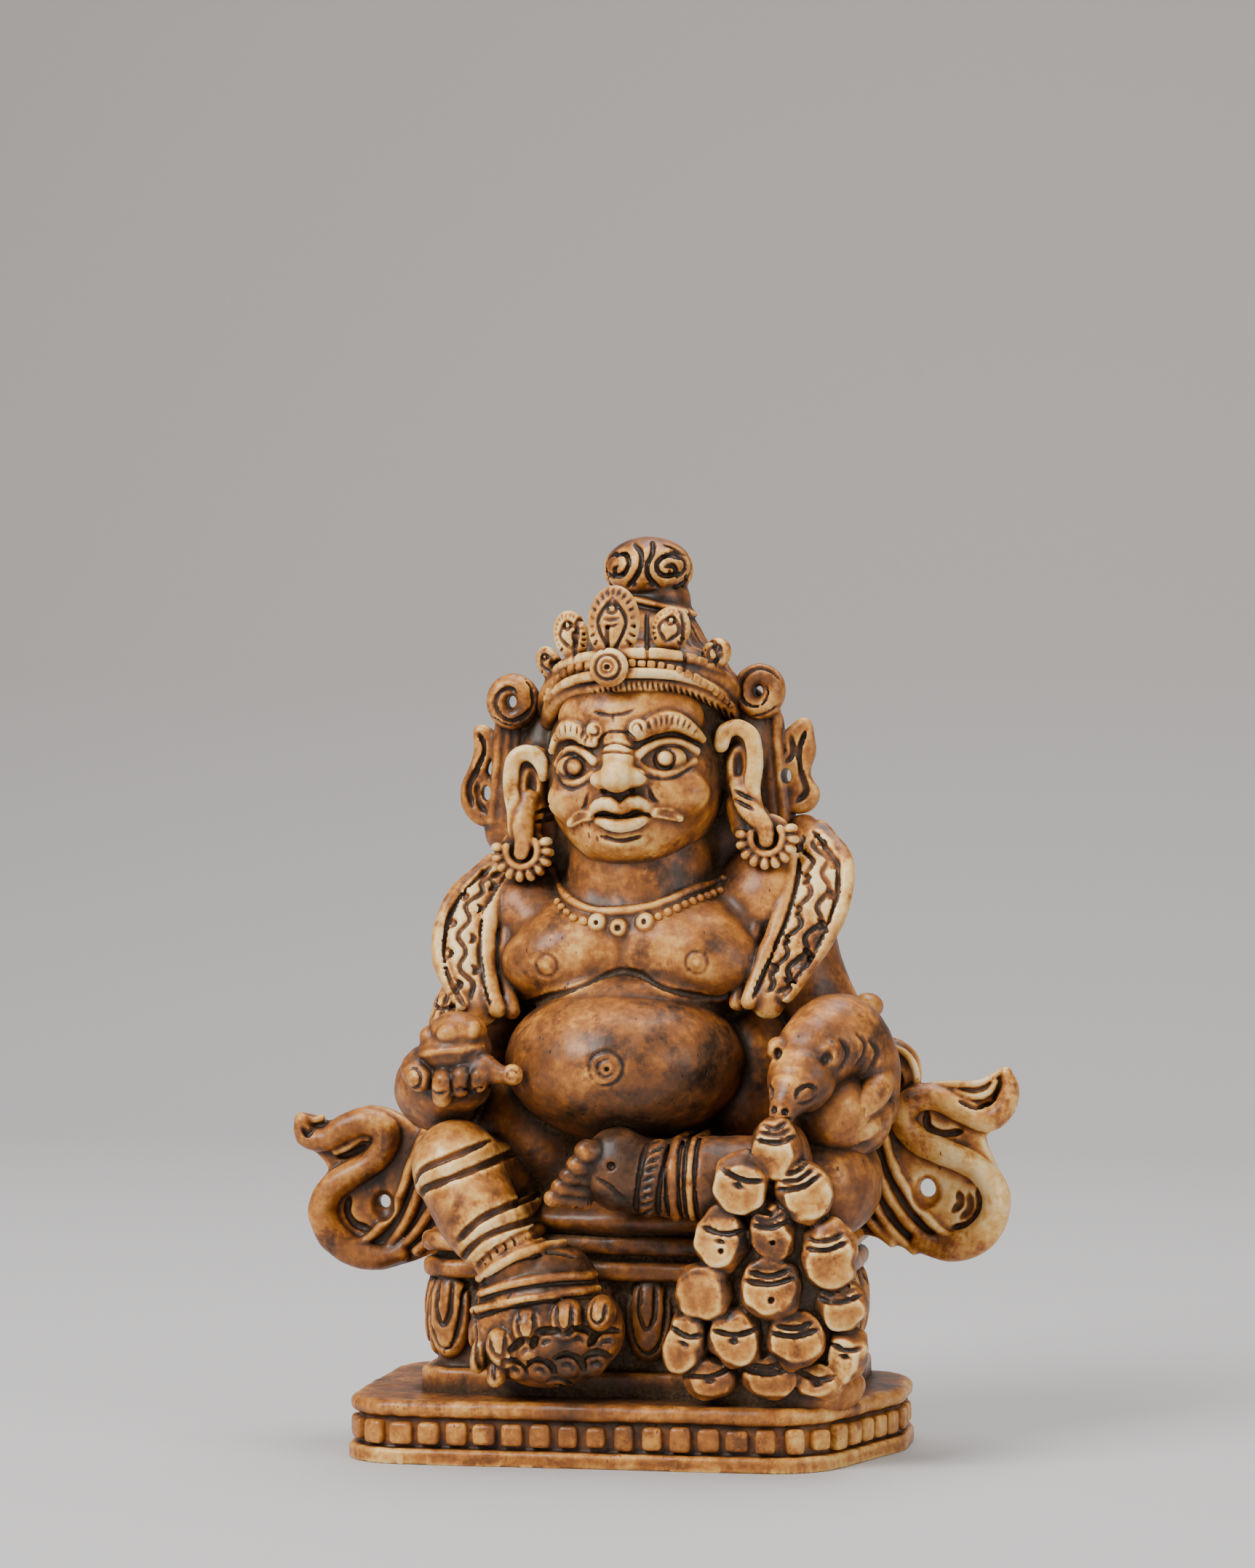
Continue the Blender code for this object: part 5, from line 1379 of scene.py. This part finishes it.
# %% [markdown]
# ## From clay to mesh
#
# The surface is drawn where the distance is nought. A Volume to Mesh modifier could draw it, but it needs
# the volume as a file or a node tree, and the grid library gives the faces at once. Geometry nodes then
# drop closed pockets inside the bone and loose crumbs, a Decimate modifier thins the mesh, and the result
# is a plain mesh at the origin, as a finished piece should be.

# %% Nodes that keep the largest shell
def node(tree, kind, inputs=(), **settings):
    """A new node with its settings, values and links."""
    made = tree.nodes.new(kind)
    for key, value in settings.items():
        setattr(made, key, value)
    for key, value in dict(inputs).items():
        if isinstance(value, bpy.types.NodeSocket):
            tree.links.new(value, made.inputs[key])
        else:
            made.inputs[key].default_value = value
    return made


def largest_shell_nodes(crumb_share):
    """A node tree that deletes every mesh island much smaller than the largest."""
    tree = bpy.data.node_groups.new("largest_shell", "GeometryNodeTree")
    tree.interface.new_socket("Geometry", in_out="INPUT", socket_type="NodeSocketGeometry")
    tree.interface.new_socket("Geometry", in_out="OUTPUT", socket_type="NodeSocketGeometry")
    entry = node(tree, "NodeGroupInput")
    island = node(tree, "GeometryNodeInputMeshIsland")
    count = node(tree, "GeometryNodeAccumulateField",
                 {"Value": 1.0, "Group ID": island.outputs["Island Index"]})
    largest = node(tree, "GeometryNodeAttributeStatistic",
                   {"Geometry": entry.outputs[0], 2: count.outputs["Total"]})
    share = node(tree, "ShaderNodeMath", {0: largest.outputs["Max"], 1: crumb_share}, operation="MULTIPLY")
    small = node(tree, "FunctionNodeCompare", {0: count.outputs["Total"], 1: share.outputs[0]},
                 operation="LESS_THAN")
    kept = node(tree, "GeometryNodeDeleteGeometry",
                {"Geometry": entry.outputs[0], "Selection": small.outputs[0]})
    node(tree, "NodeGroupOutput", {0: kept.outputs[0]})
    return tree


CRUMB_SHARE = 0.05
SHELL_NODES = largest_shell_nodes(CRUMB_SHARE)


def bake(obj):
    """Puts the evaluated mesh in place of the modifiers."""
    bpy.context.view_layer.update()
    graph = bpy.context.evaluated_depsgraph_get()
    data = bpy.data.meshes.new_from_object(obj.evaluated_get(graph))
    obj.modifiers.clear()
    obj.data = data
    data.name = obj.name
    data.shade_smooth()


WALL = 0.3


def skin(name, block, limit):
    """The block's surface as a mesh object in metres with at most the given number of triangles."""
    field = np.clip(block.field, -AIR, AIR)
    for axis in range(3):
        for side in (0, -1):
            edge = [slice(None)] * 3
            edge[axis] = side
            field[tuple(edge)] = np.maximum(field[tuple(edge)], WALL)
    grid = openvdb.FloatGrid(AIR)
    grid.copyFromArray(field)
    places, quads = grid.convertToQuads(0.0)
    places = np.clip((places + block.corner) * block.cell * MM, list(frame_low), list(frame_high))
    mesh = bpy.data.meshes.new(name)
    mesh.vertices.add(len(places))
    mesh.vertices.foreach_set("co", places.astype(np.float32).ravel())
    mesh.loops.add(quads.size)
    mesh.loops.foreach_set("vertex_index", quads[:, ::-1].astype(np.int32).ravel())
    mesh.polygons.add(len(quads))
    mesh.polygons.foreach_set("loop_start", np.arange(len(quads), dtype=np.int32) * 4)
    mesh.update(calc_edges=True)
    obj = bpy.data.objects.new(name, mesh)
    bpy.context.scene.collection.objects.link(obj)
    obj.modifiers.new("largest shell", "NODES").node_group = SHELL_NODES
    thin = obj.modifiers.new("thin", "DECIMATE")
    thin.ratio = min(1.0, limit / (2 * len(quads)))
    bake(obj)
    return obj

# %% [markdown]
# ### Faces for each piece
#
# A piece stays under 200,000 triangles. The torso and the legs are large and the head and the crown are
# fine, so they get the most. The base is nearly plain and gets few.

# %% The carved pieces
TRIANGLES = {
    "base_plate": 40000, "throne": 90000, "torso_and_arms": 170000, "legs_and_feet": 150000,
    "mongoose_and_hand": 50000, "jewels": 90000, "head_and_ears": 150000, "crown_and_hair": 110000,
    "crown_ribbons": 40000, "scarf_end_left": 28000, "scarf_end_right": 28000,
}
pieces = []
for name, block in blocks.items():
    piece = skin(name, block, TRIANGLES[name])
    paint(piece, block, *((JEWEL_LIFT, FACETS) if name == "jewels" else ()))
    pieces.append(piece)
    print(f"{name:20s} {sum(len(p.vertices) - 2 for p in piece.data.polygons)} triangles")

# %% [markdown]
# ## Strings of beads
#
# Rows of beads are cut into the base's channel, between the crown's rolls and along the necklace. Each
# could be carved into its block, but what follows a path and repeats is the work of geometry nodes: the
# path is walked at an even pitch, one bead is put at each step and turned to the path, and each varies a
# little, as hand-cut beads do. One tree makes the square beads of the base and the round ones above.

# %% Nodes that string beads
def bead_nodes():
    """A node tree that strings beads along the edges it gets."""
    tree = bpy.data.node_groups.new("string_of_beads", "GeometryNodeTree")
    tree.interface.new_socket("Geometry", in_out="INPUT", socket_type="NodeSocketGeometry")
    for name, kind in (("Pitch", "Float"), ("Bead Size", "Vector"), ("Squareness", "Int"),
                       ("Unevenness", "Float"), ("Seed", "Int"), ("Material", "Material")):
        tree.interface.new_socket(name, in_out="INPUT", socket_type="NodeSocket" + kind)
    tree.interface.new_socket("Geometry", in_out="OUTPUT", socket_type="NodeSocketGeometry")
    entry = node(tree, "NodeGroupInput").outputs
    path = node(tree, "GeometryNodeMeshToCurve", {"Mesh": entry["Geometry"]})
    steps = node(tree, "GeometryNodeCurveToPoints", {"Curve": path.outputs[0], "Length": entry["Pitch"]},
                 mode="LENGTH")
    sides = entry["Squareness"]
    cube = node(tree, "GeometryNodeMeshCube", {"Vertices " + axis: sides for axis in "XYZ"})
    bead = node(tree, "GeometryNodeSubdivisionSurface", {"Mesh": cube.outputs["Mesh"], "Level": 1})
    less = node(tree, "ShaderNodeMath", {0: 1.0, 1: entry["Unevenness"]}, operation="SUBTRACT")
    more = node(tree, "ShaderNodeMath", {0: 1.0, 1: entry["Unevenness"]}, operation="ADD")
    vary = node(tree, "FunctionNodeRandomValue", {"Seed": entry["Seed"]}, data_type="FLOAT_VECTOR")
    tree.links.new(less.outputs[0], vary.inputs["Min"])
    tree.links.new(more.outputs[0], vary.inputs["Max"])
    size = node(tree, "ShaderNodeVectorMath", {0: entry["Bead Size"], 1: vary.outputs["Value"]},
                operation="MULTIPLY")
    string = node(tree, "GeometryNodeInstanceOnPoints", {
        "Points": steps.outputs["Points"], "Instance": bead.outputs[0],
        "Rotation": steps.outputs["Rotation"],
        "Scale": size.outputs[0]})
    real = node(tree, "GeometryNodeRealizeInstances", {"Geometry": string.outputs[0]})
    smooth = node(tree, "GeometryNodeSetShadeSmooth", {"Geometry": real.outputs[0]})
    done = node(tree, "GeometryNodeSetMaterial",
                {"Geometry": smooth.outputs[0], "Material": entry["Material"]})
    node(tree, "NodeGroupOutput", {0: done.outputs[0]})
    return tree


BEAD_NODES = bead_nodes()
print("bead tree with", len(BEAD_NODES.nodes), "nodes")

# %% [markdown]
# ## Bone
#
# The figure is one material, old bone that was stained brown and then rubbed by hands. Fine dark pores run
# with the bone's length, the grain shows as faint streaks, and brown dirt sits in the deepest gaps, together
# with painted shade there. A picture of bone wrapped round the figure would stretch and repeat. Noise on
# Object coordinates doesn't, so pores, grain, stain and dirt are each a group of nodes. The gloss stays in
# the material itself.

# %% Helpers for shader nodes
def linear(code):
    """A six-figure colour code as linear red, green, blue and one."""
    parts = [int(code[i : i + 2], 16) / 255 for i in (0, 2, 4)]
    return (*[c / 12.92 if c <= 0.04045 else ((c + 0.055) / 1.055) ** 2.4 for c in parts], 1.0)


def shader_group(name, inputs, outputs):
    """An empty shader group with its sockets, and its input and output nodes."""
    tree = bpy.data.node_groups.new(name, "ShaderNodeTree")
    for title, kind in inputs:
        tree.interface.new_socket(title, in_out="INPUT", socket_type="NodeSocket" + kind)
    for title, kind in outputs:
        tree.interface.new_socket(title, in_out="OUTPUT", socket_type="NodeSocket" + kind)
    return tree, node(tree, "NodeGroupInput").outputs, node(tree, "NodeGroupOutput")


def maths(tree, operation, a, b=0.0, c=0.0, clamp=False):
    """A maths node's result."""
    return node(tree, "ShaderNodeMath", {0: a, 1: b, 2: c}, operation=operation, use_clamp=clamp).outputs[0]


def noise(tree, where, scale, detail, roughness=0.5):
    """A noise texture's value at a place."""
    return node(tree, "ShaderNodeTexNoise", {"Vector": where, "Scale": scale, "Detail": detail,
                                             "Roughness": roughness}).outputs[0]


def rise(tree, value, low, high, top=1.0):
    """Nought below low, top above high, and a straight rise between them."""
    return node(tree, "ShaderNodeMapRange", {"Value": value, "From Min": low, "From Max": high,
                                             "To Max": top}).outputs[0]


def ramp(tree, value, stops):
    """The colour for a value, on a ramp through (position, colour code) stops."""
    made = node(tree, "ShaderNodeValToRGB", {"Fac": value})
    while len(made.color_ramp.elements) < len(stops):
        made.color_ramp.elements.new(0.5)
    for element, (position, code) in zip(made.color_ramp.elements, stops):
        element.position = position
        element.color = linear(code)
    return made.outputs[0]


print("middle brown in linear light", [round(c, 3) for c in linear("804B20")[:3]])

# %% Grain and pores
def grain_group():
    """Faint streaks along the bone's length."""
    tree, _, out = shader_group("bone_grain", (), (("Streaks", "Float"), ("Height", "Float")))
    where = node(tree, "ShaderNodeTexCoord").outputs["Object"]
    long = node(tree, "ShaderNodeMapping", {"Vector": where, "Scale": (1.0, 1.0, 0.09)})
    streaks = noise(tree, long.outputs[0], 1500.0, 4.0, 0.6)
    tree.links.new(streaks, out.inputs["Streaks"])
    tree.links.new(maths(tree, "ADD", streaks, noise(tree, where, 700.0, 6.0, 0.65)), out.inputs["Height"])
    return tree


def pore_group():
    """Small dark pores, most of them short strokes along the bone."""
    tree, _, out = shader_group("bone_pores", (), (("Mask", "Float"),))
    where = node(tree, "ShaderNodeTexCoord").outputs["Object"]
    long = node(tree, "ShaderNodeMapping", {"Vector": where, "Scale": (1.0, 1.0, 0.45)})
    cells = node(tree, "ShaderNodeTexVoronoi", {"Vector": long.outputs[0], "Scale": 1150.0})
    size = rise(tree, noise(tree, where, 260.0, 3.0), 0.45, 0.75, 0.26)
    inside = maths(tree, "SUBTRACT", size, cells.outputs["Distance"])
    tree.links.new(maths(tree, "MULTIPLY", inside, 14.0, clamp=True), out.inputs["Mask"])
    return tree

# %% Stain and dirt
# position from dark to pale, and colour
BONE_COLOURS = ((0.0, "22150C"), (0.16, "3A2414"), (0.34, "5A381F"), (0.5, "804B20"), (0.62, "A56629"),
                (0.74, "C88C42"),
        (0.86, "E0B062"), (1.0, "F1D198"))


# how many patches a metre, and how much they shift the shade
STAIN_NOISES = ((120.0, 0.6), (400.0, 0.55), (1700.0, 0.34))
DARK_PATCH = 0.28
PORE_STAIN = 0.3


def stain_group():
    """The colour of stained bone for a shade from dark to pale, broken up by slow and fast variation."""
    told = (("Shade", "Float"), ("Streaks", "Float"), ("Pores", "Float"))
    tree, given, out = shader_group("bone_stain", told, (("Color", "Color"),))
    where = node(tree, "ShaderNodeTexCoord").outputs["Object"]
    total = given["Shade"]
    for scale, amount in STAIN_NOISES:
        shift = maths(tree, "MULTIPLY_ADD", noise(tree, where, scale, 4.0, 0.6), amount, -amount / 2)
        total = maths(tree, "ADD", total, shift)
    total = maths(tree, "ADD", total, maths(tree, "MULTIPLY_ADD", given["Streaks"], 0.1, -0.05))
    patches = rise(tree, noise(tree, where, 210.0, 6.0, 0.68), 0.53, 0.64, DARK_PATCH)
    total = maths(tree, "SUBTRACT", total, patches)
    total = maths(tree, "SUBTRACT", total, maths(tree, "MULTIPLY", given["Pores"], PORE_STAIN), clamp=True)
    tree.links.new(ramp(tree, total, BONE_COLOURS), out.inputs["Color"])
    return tree


# colours of the dirt layer, which also lays painted shade in the gaps
DIRT_AND_SHADE_COLOURS = ((0.35, "2C1C10"), (0.72, "70532F"))


def grime_group():
    """Gritty brown dirt, and painted shade, that covers what lies under it where the amount is high."""
    tree, given, out = shader_group("grime", (("Color", "Color"), ("Amount", "Float")),
                                    (("Color", "Color"), ("Cover", "Float"), ("Height", "Float")))
    where = node(tree, "ShaderNodeTexCoord").outputs["Object"]
    grit = noise(tree, where, 2600.0, 3.0, 0.7)
    tint = ramp(tree, grit, DIRT_AND_SHADE_COLOURS)
    rough = maths(tree, "MULTIPLY_ADD", grit, 0.9, -0.45)
    gritty = maths(tree, "MULTIPLY_ADD", rough, given["Amount"], given["Amount"])
    cover = maths(tree, "MULTIPLY", gritty, 0.85, clamp=True)
    mixed = node(tree, "ShaderNodeMix", {"Factor": cover, "A": given["Color"], "B": tint}, data_type="RGBA")
    tree.links.new(mixed.outputs["Result"], out.inputs["Color"])
    tree.links.new(cover, out.inputs["Cover"])
    tree.links.new(maths(tree, "MULTIPLY", grit, cover), out.inputs["Height"])
    return tree


GROUPS = {"grain": grain_group(), "pores": pore_group(), "stain": stain_group(), "grime": grime_group()}
print("shader groups:", ", ".join(GROUPS))

# %% [markdown]
# ### The material
#
# The groups feed one Principled shader. Old bone lets a little light in, so it has a touch of subsurface
# scattering, and it is handled, so raised places are glossier than the dirty hollows. A varnish or a strong
# coat would look like plastic, so the coat is kept very thin.

# %% The bone material
GLOSS = {
    "Subsurface Weight": 0.08, "Subsurface Radius": (1.0, 0.5, 0.25), "Subsurface Scale": 0.0006,
    "Coat Weight": 0.05, "Coat Roughness": 0.22, "Specular IOR Level": 0.34,
}


def bone():
    """Old bone: stain by shade, dirt and painted shade in the gaps, a soft gloss that is sharper where hands
    rub.
    """
    material = bpy.data.materials.new("carved_bone")
    material.use_nodes = True
    tree = material.node_tree
    shader = tree.nodes["Principled BSDF"]
    told = {name: node(tree, "ShaderNodeAttribute", attribute_name=name).outputs["Fac"]
            for name in ("shade", "grime", "polish")}
    grain, pores, stain, grime = (node(tree, "ShaderNodeGroup", node_tree=GROUPS[name])
                                  for name in ("grain", "pores", "stain", "grime"))
    tree.links.new(told["shade"], stain.inputs["Shade"])
    tree.links.new(grain.outputs["Streaks"], stain.inputs["Streaks"])
    tree.links.new(pores.outputs["Mask"], stain.inputs["Pores"])
    tree.links.new(stain.outputs["Color"], grime.inputs["Color"])
    tree.links.new(told["grime"], grime.inputs["Amount"])
    tree.links.new(grime.outputs["Color"], shader.inputs["Base Color"])
    dull = maths(tree, "MULTIPLY_ADD", told["polish"], -0.14, 0.5)
    dull = maths(tree, "ADD", dull, maths(tree, "MULTIPLY", grime.outputs["Cover"], 0.3))
    dull = maths(tree, "ADD", dull, maths(tree, "MULTIPLY_ADD", grain.outputs["Streaks"], 0.2, -0.1))
    tree.links.new(dull, shader.inputs["Roughness"])
    height = maths(tree, "MULTIPLY", grain.outputs["Height"], 0.35)
    height = maths(tree, "SUBTRACT", height, maths(tree, "MULTIPLY", pores.outputs["Mask"], 0.6))
    height = maths(tree, "ADD", height, maths(tree, "MULTIPLY", grime.outputs["Height"], 1.6))
    bump = node(tree, "ShaderNodeBump", {"Strength": 0.7, "Distance": 0.00012, "Height": height})
    tree.links.new(bump.outputs[0], shader.inputs["Normal"])
    for name, value in GLOSS.items():
        shader.inputs[name].default_value = value
    return material


BONE = bone()
for piece in pieces:
    piece.data.materials.append(BONE)

# %% The strings of beads
def set_inputs(modifier, values):
    """Gives a nodes modifier its values by the names of its sockets."""
    for item in modifier.node_group.interface.items_tree:
        if item.item_type == "SOCKET" and item.in_out == "INPUT" and item.name in values:
            modifier[item.identifier] = values[item.name]


def string_beads(name, paths, pitch, size, squareness=2, unevenness=0.08, seed=1, lift=0.0):
    """One piece that holds the beads strung along the given paths, each a list of (x, y, z)."""
    mesh = bpy.data.meshes.new(name)
    places, edges = [], []
    for path in paths:
        edges += [(len(places) + i, len(places) + i + 1) for i in range(len(path) - 1)]
        places += [tuple(np.array(p) * MM) for p in path]
    mesh.from_pydata(places, edges, [])
    obj = bpy.data.objects.new(name, mesh)
    bpy.context.scene.collection.objects.link(obj)
    modifier = obj.modifiers.new("beads", "NODES")
    modifier.node_group = BEAD_NODES
    set_inputs(modifier, {"Pitch": pitch * MM, "Bead Size": [s * MM for s in size],
                          "Squareness": squareness,
                          "Unevenness": unevenness, "Seed": seed, "Material": BONE})
    bake(obj)
    paint(obj, None, lift)
    pieces.append(obj)
    print(name, len(obj.data.polygons), "faces")


BEAD_ROW = rounded([(-24.8, -14, 5), (19.4, -14, 7), (25.4, 2.2, 7), (25.4, 14.9, 7), (-24.8, 14.9, 7)])
BEAD_HEIGHT = 2.9
string_beads("base_beads", [[(x, y, BEAD_HEIGHT) for x, y in BEAD_ROW + BEAD_ROW[:1]]], pitch=2.66,
             size=(1.6, 2.15, 1.9), squareness=4, unevenness=0.14, seed=3, lift=0.04)


def above(clay, line, proud):
    """A drawn line laid on a block and lifted a little off its surface."""
    places, normals = clay.lay(line)
    return places + normals * proud


crown_lines = ([(-7.3, 72.2), (-6.3, 73.6), (-4.6, 74.8), (-2.6, 75.2)],
               [(1.6, 75.4), (4.0, 75.2), (6.4, 74.5), (8.6, 73.2), (10.0, 71.6)])
string_beads("crown_beads", [above(crown, line, 0.1) for line in crown_lines], pitch=0.9,
             size=(0.72, 0.72, 0.7), squareness=3, unevenness=0.14, seed=2, lift=0.12)
necklace_lines = ([(-6.2, 52.6), (-5.3, 51.9), (-4.2, 51.2), (-3.2, 50.9)],
                  [(4.0, 51.4), (5.4, 52.0), (6.8, 52.7), (8.2, 53.3), (9.2, 53.7)])
string_beads("necklace_beads", [above(torso, line, 0.15) for line in necklace_lines], pitch=0.95,
             size=(0.9, 1.0, 1.0), squareness=2, unevenness=0.12, seed=5, lift=0.1)

# %% [markdown]
# ## The set, the light and the camera
#
# A carving this size is photographed on a table top. A pale sweep stands behind it: one sheet that curves
# up, so that no corner shows. A plane and a backdrop would do, but their joint would draw a line.

# %% Pale sweep
# paper colour at the table and higher up: the darker top is painted shade, where less light reaches the
# backdrop
PAPER_LIT_LOW, PAPER_SHADED_HIGH = (0.5, 0.487, 0.485, 1), (0.395, 0.372, 0.358, 1)
PAPER_SHADE_HEIGHT = 0.09


def sweep():
    """A table top that curves up into a backdrop, with painted shade that darkens it higher up."""
    line = [(-1.2, 0.0), (0.35, 0.0)]
    line += [(0.35 + 0.3 * math.sin(a), 0.3 - 0.3 * math.cos(a)) for a in np.linspace(0.1, math.pi / 2, 14)]
    line += [(0.65, 1.6)]
    places = [(x, y, z) for y, z in line for x in (-1.6, 1.6)]
    faces = [(2 * i, 2 * i + 1, 2 * i + 3, 2 * i + 2) for i in range(len(line) - 1)]
    mesh = bpy.data.meshes.new("sweep")
    mesh.from_pydata(places, [], faces)
    obj = bpy.data.objects.new("sweep", mesh)
    bpy.context.scene.collection.objects.link(obj)
    mesh.shade_smooth()
    paper = bpy.data.materials.new("pale_paper")
    paper.use_nodes = True
    tree = paper.node_tree
    where = node(tree, "ShaderNodeTexCoord").outputs["Object"]
    height = node(tree, "ShaderNodeSeparateXYZ", {0: where}).outputs["Z"]
    # painted shade: the paper darkens with height, as the light falls off towards the top
    paper_shade = rise(tree, height, 0.0, PAPER_SHADE_HEIGHT)
    tint = node(tree, "ShaderNodeMix", {"Factor": paper_shade, "A": PAPER_LIT_LOW, "B": PAPER_SHADED_HIGH}, data_type="RGBA")
    tree.links.new(tint.outputs["Result"], tree.nodes["Principled BSDF"].inputs["Base Color"])
    tree.nodes["Principled BSDF"].inputs["Roughness"].default_value = 0.8
    mesh.materials.append(paper)


sweep()

# %% [markdown]
# ### Light
#
# Relief reads by its shadows, so the light must be soft but not even. One large light above and to the left
# gives the shadows, a weak one on the right opens them, and one from behind and above parts the hair from
# the backdrop. A picture of a studio could light it as well, but that would be a file to carry about.

# %% Three soft lights
AIM = (0, 0, 0.045)
LIGHTS = (
    # name, place, size, power
    ("key", (-0.35, -0.45, 0.5), 0.35, 7.0),
    ("fill", (0.55, -0.35, 0.25), 0.4, 1.8),
    ("top", (0.05, 0.1, 0.6), 0.4, 3.5),
)


def soft_light(name, place, size, power):
    """A square soft light that points at the figure."""
    light = bpy.data.lights.new(name, "AREA")
    light.size = size
    light.energy = power
    obj = bpy.data.objects.new(name, light)
    bpy.context.scene.collection.objects.link(obj)
    obj.location = place
    obj.rotation_euler = (Vector(AIM) - Vector(place)).to_track_quat("-Z", "Y").to_euler()
    return obj


for light in LIGHTS:
    soft_light(*light)
world = bpy.data.worlds.new("studio")
world.use_nodes = True
world.node_tree.nodes["Background"].inputs["Color"].default_value = (1.0, 0.97, 0.94, 1)
world.node_tree.nodes["Background"].inputs["Strength"].default_value = 0.28
bpy.context.scene.world = world
print(len(LIGHTS), "lights")

# %% [markdown]
# ### Camera
#
# The photograph shows a little of the figure's left side and hardly any of its top. So the camera looks
# level, from a little to one side, with a long lens from 42 cm away. A wide lens from near by would fill
# the picture too, but it would swell the belly and shrink the head.

# %% Camera
ANGLE = math.radians(10)
AWAY = 0.421
ASIDE = 0.0005
EYE_HEIGHT = 0.064
camera = bpy.data.cameras.new("camera")
camera.lens = 100
camera.sensor_width = 36
camera_object = bpy.data.objects.new("camera", camera)
bpy.context.scene.collection.objects.link(camera_object)
camera_object.location = (AWAY * math.sin(ANGLE) - ASIDE * math.cos(ANGLE),
                          -AWAY * math.cos(ANGLE) - ASIDE * math.sin(ANGLE), EYE_HEIGHT)
camera_object.rotation_euler = (math.pi / 2, 0, ANGLE)
bpy.context.scene.camera = camera_object
print("camera at", [round(v, 3) for v in camera_object.location])

# %% [markdown]
# ## Onto the frame
#
# Every piece rides on the one body of the packed frame and stands for its one node. The frame's size is
# printed at the start.

# %% Riding and the end
for piece in pieces:
    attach(piece, "root")
    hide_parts("statue")
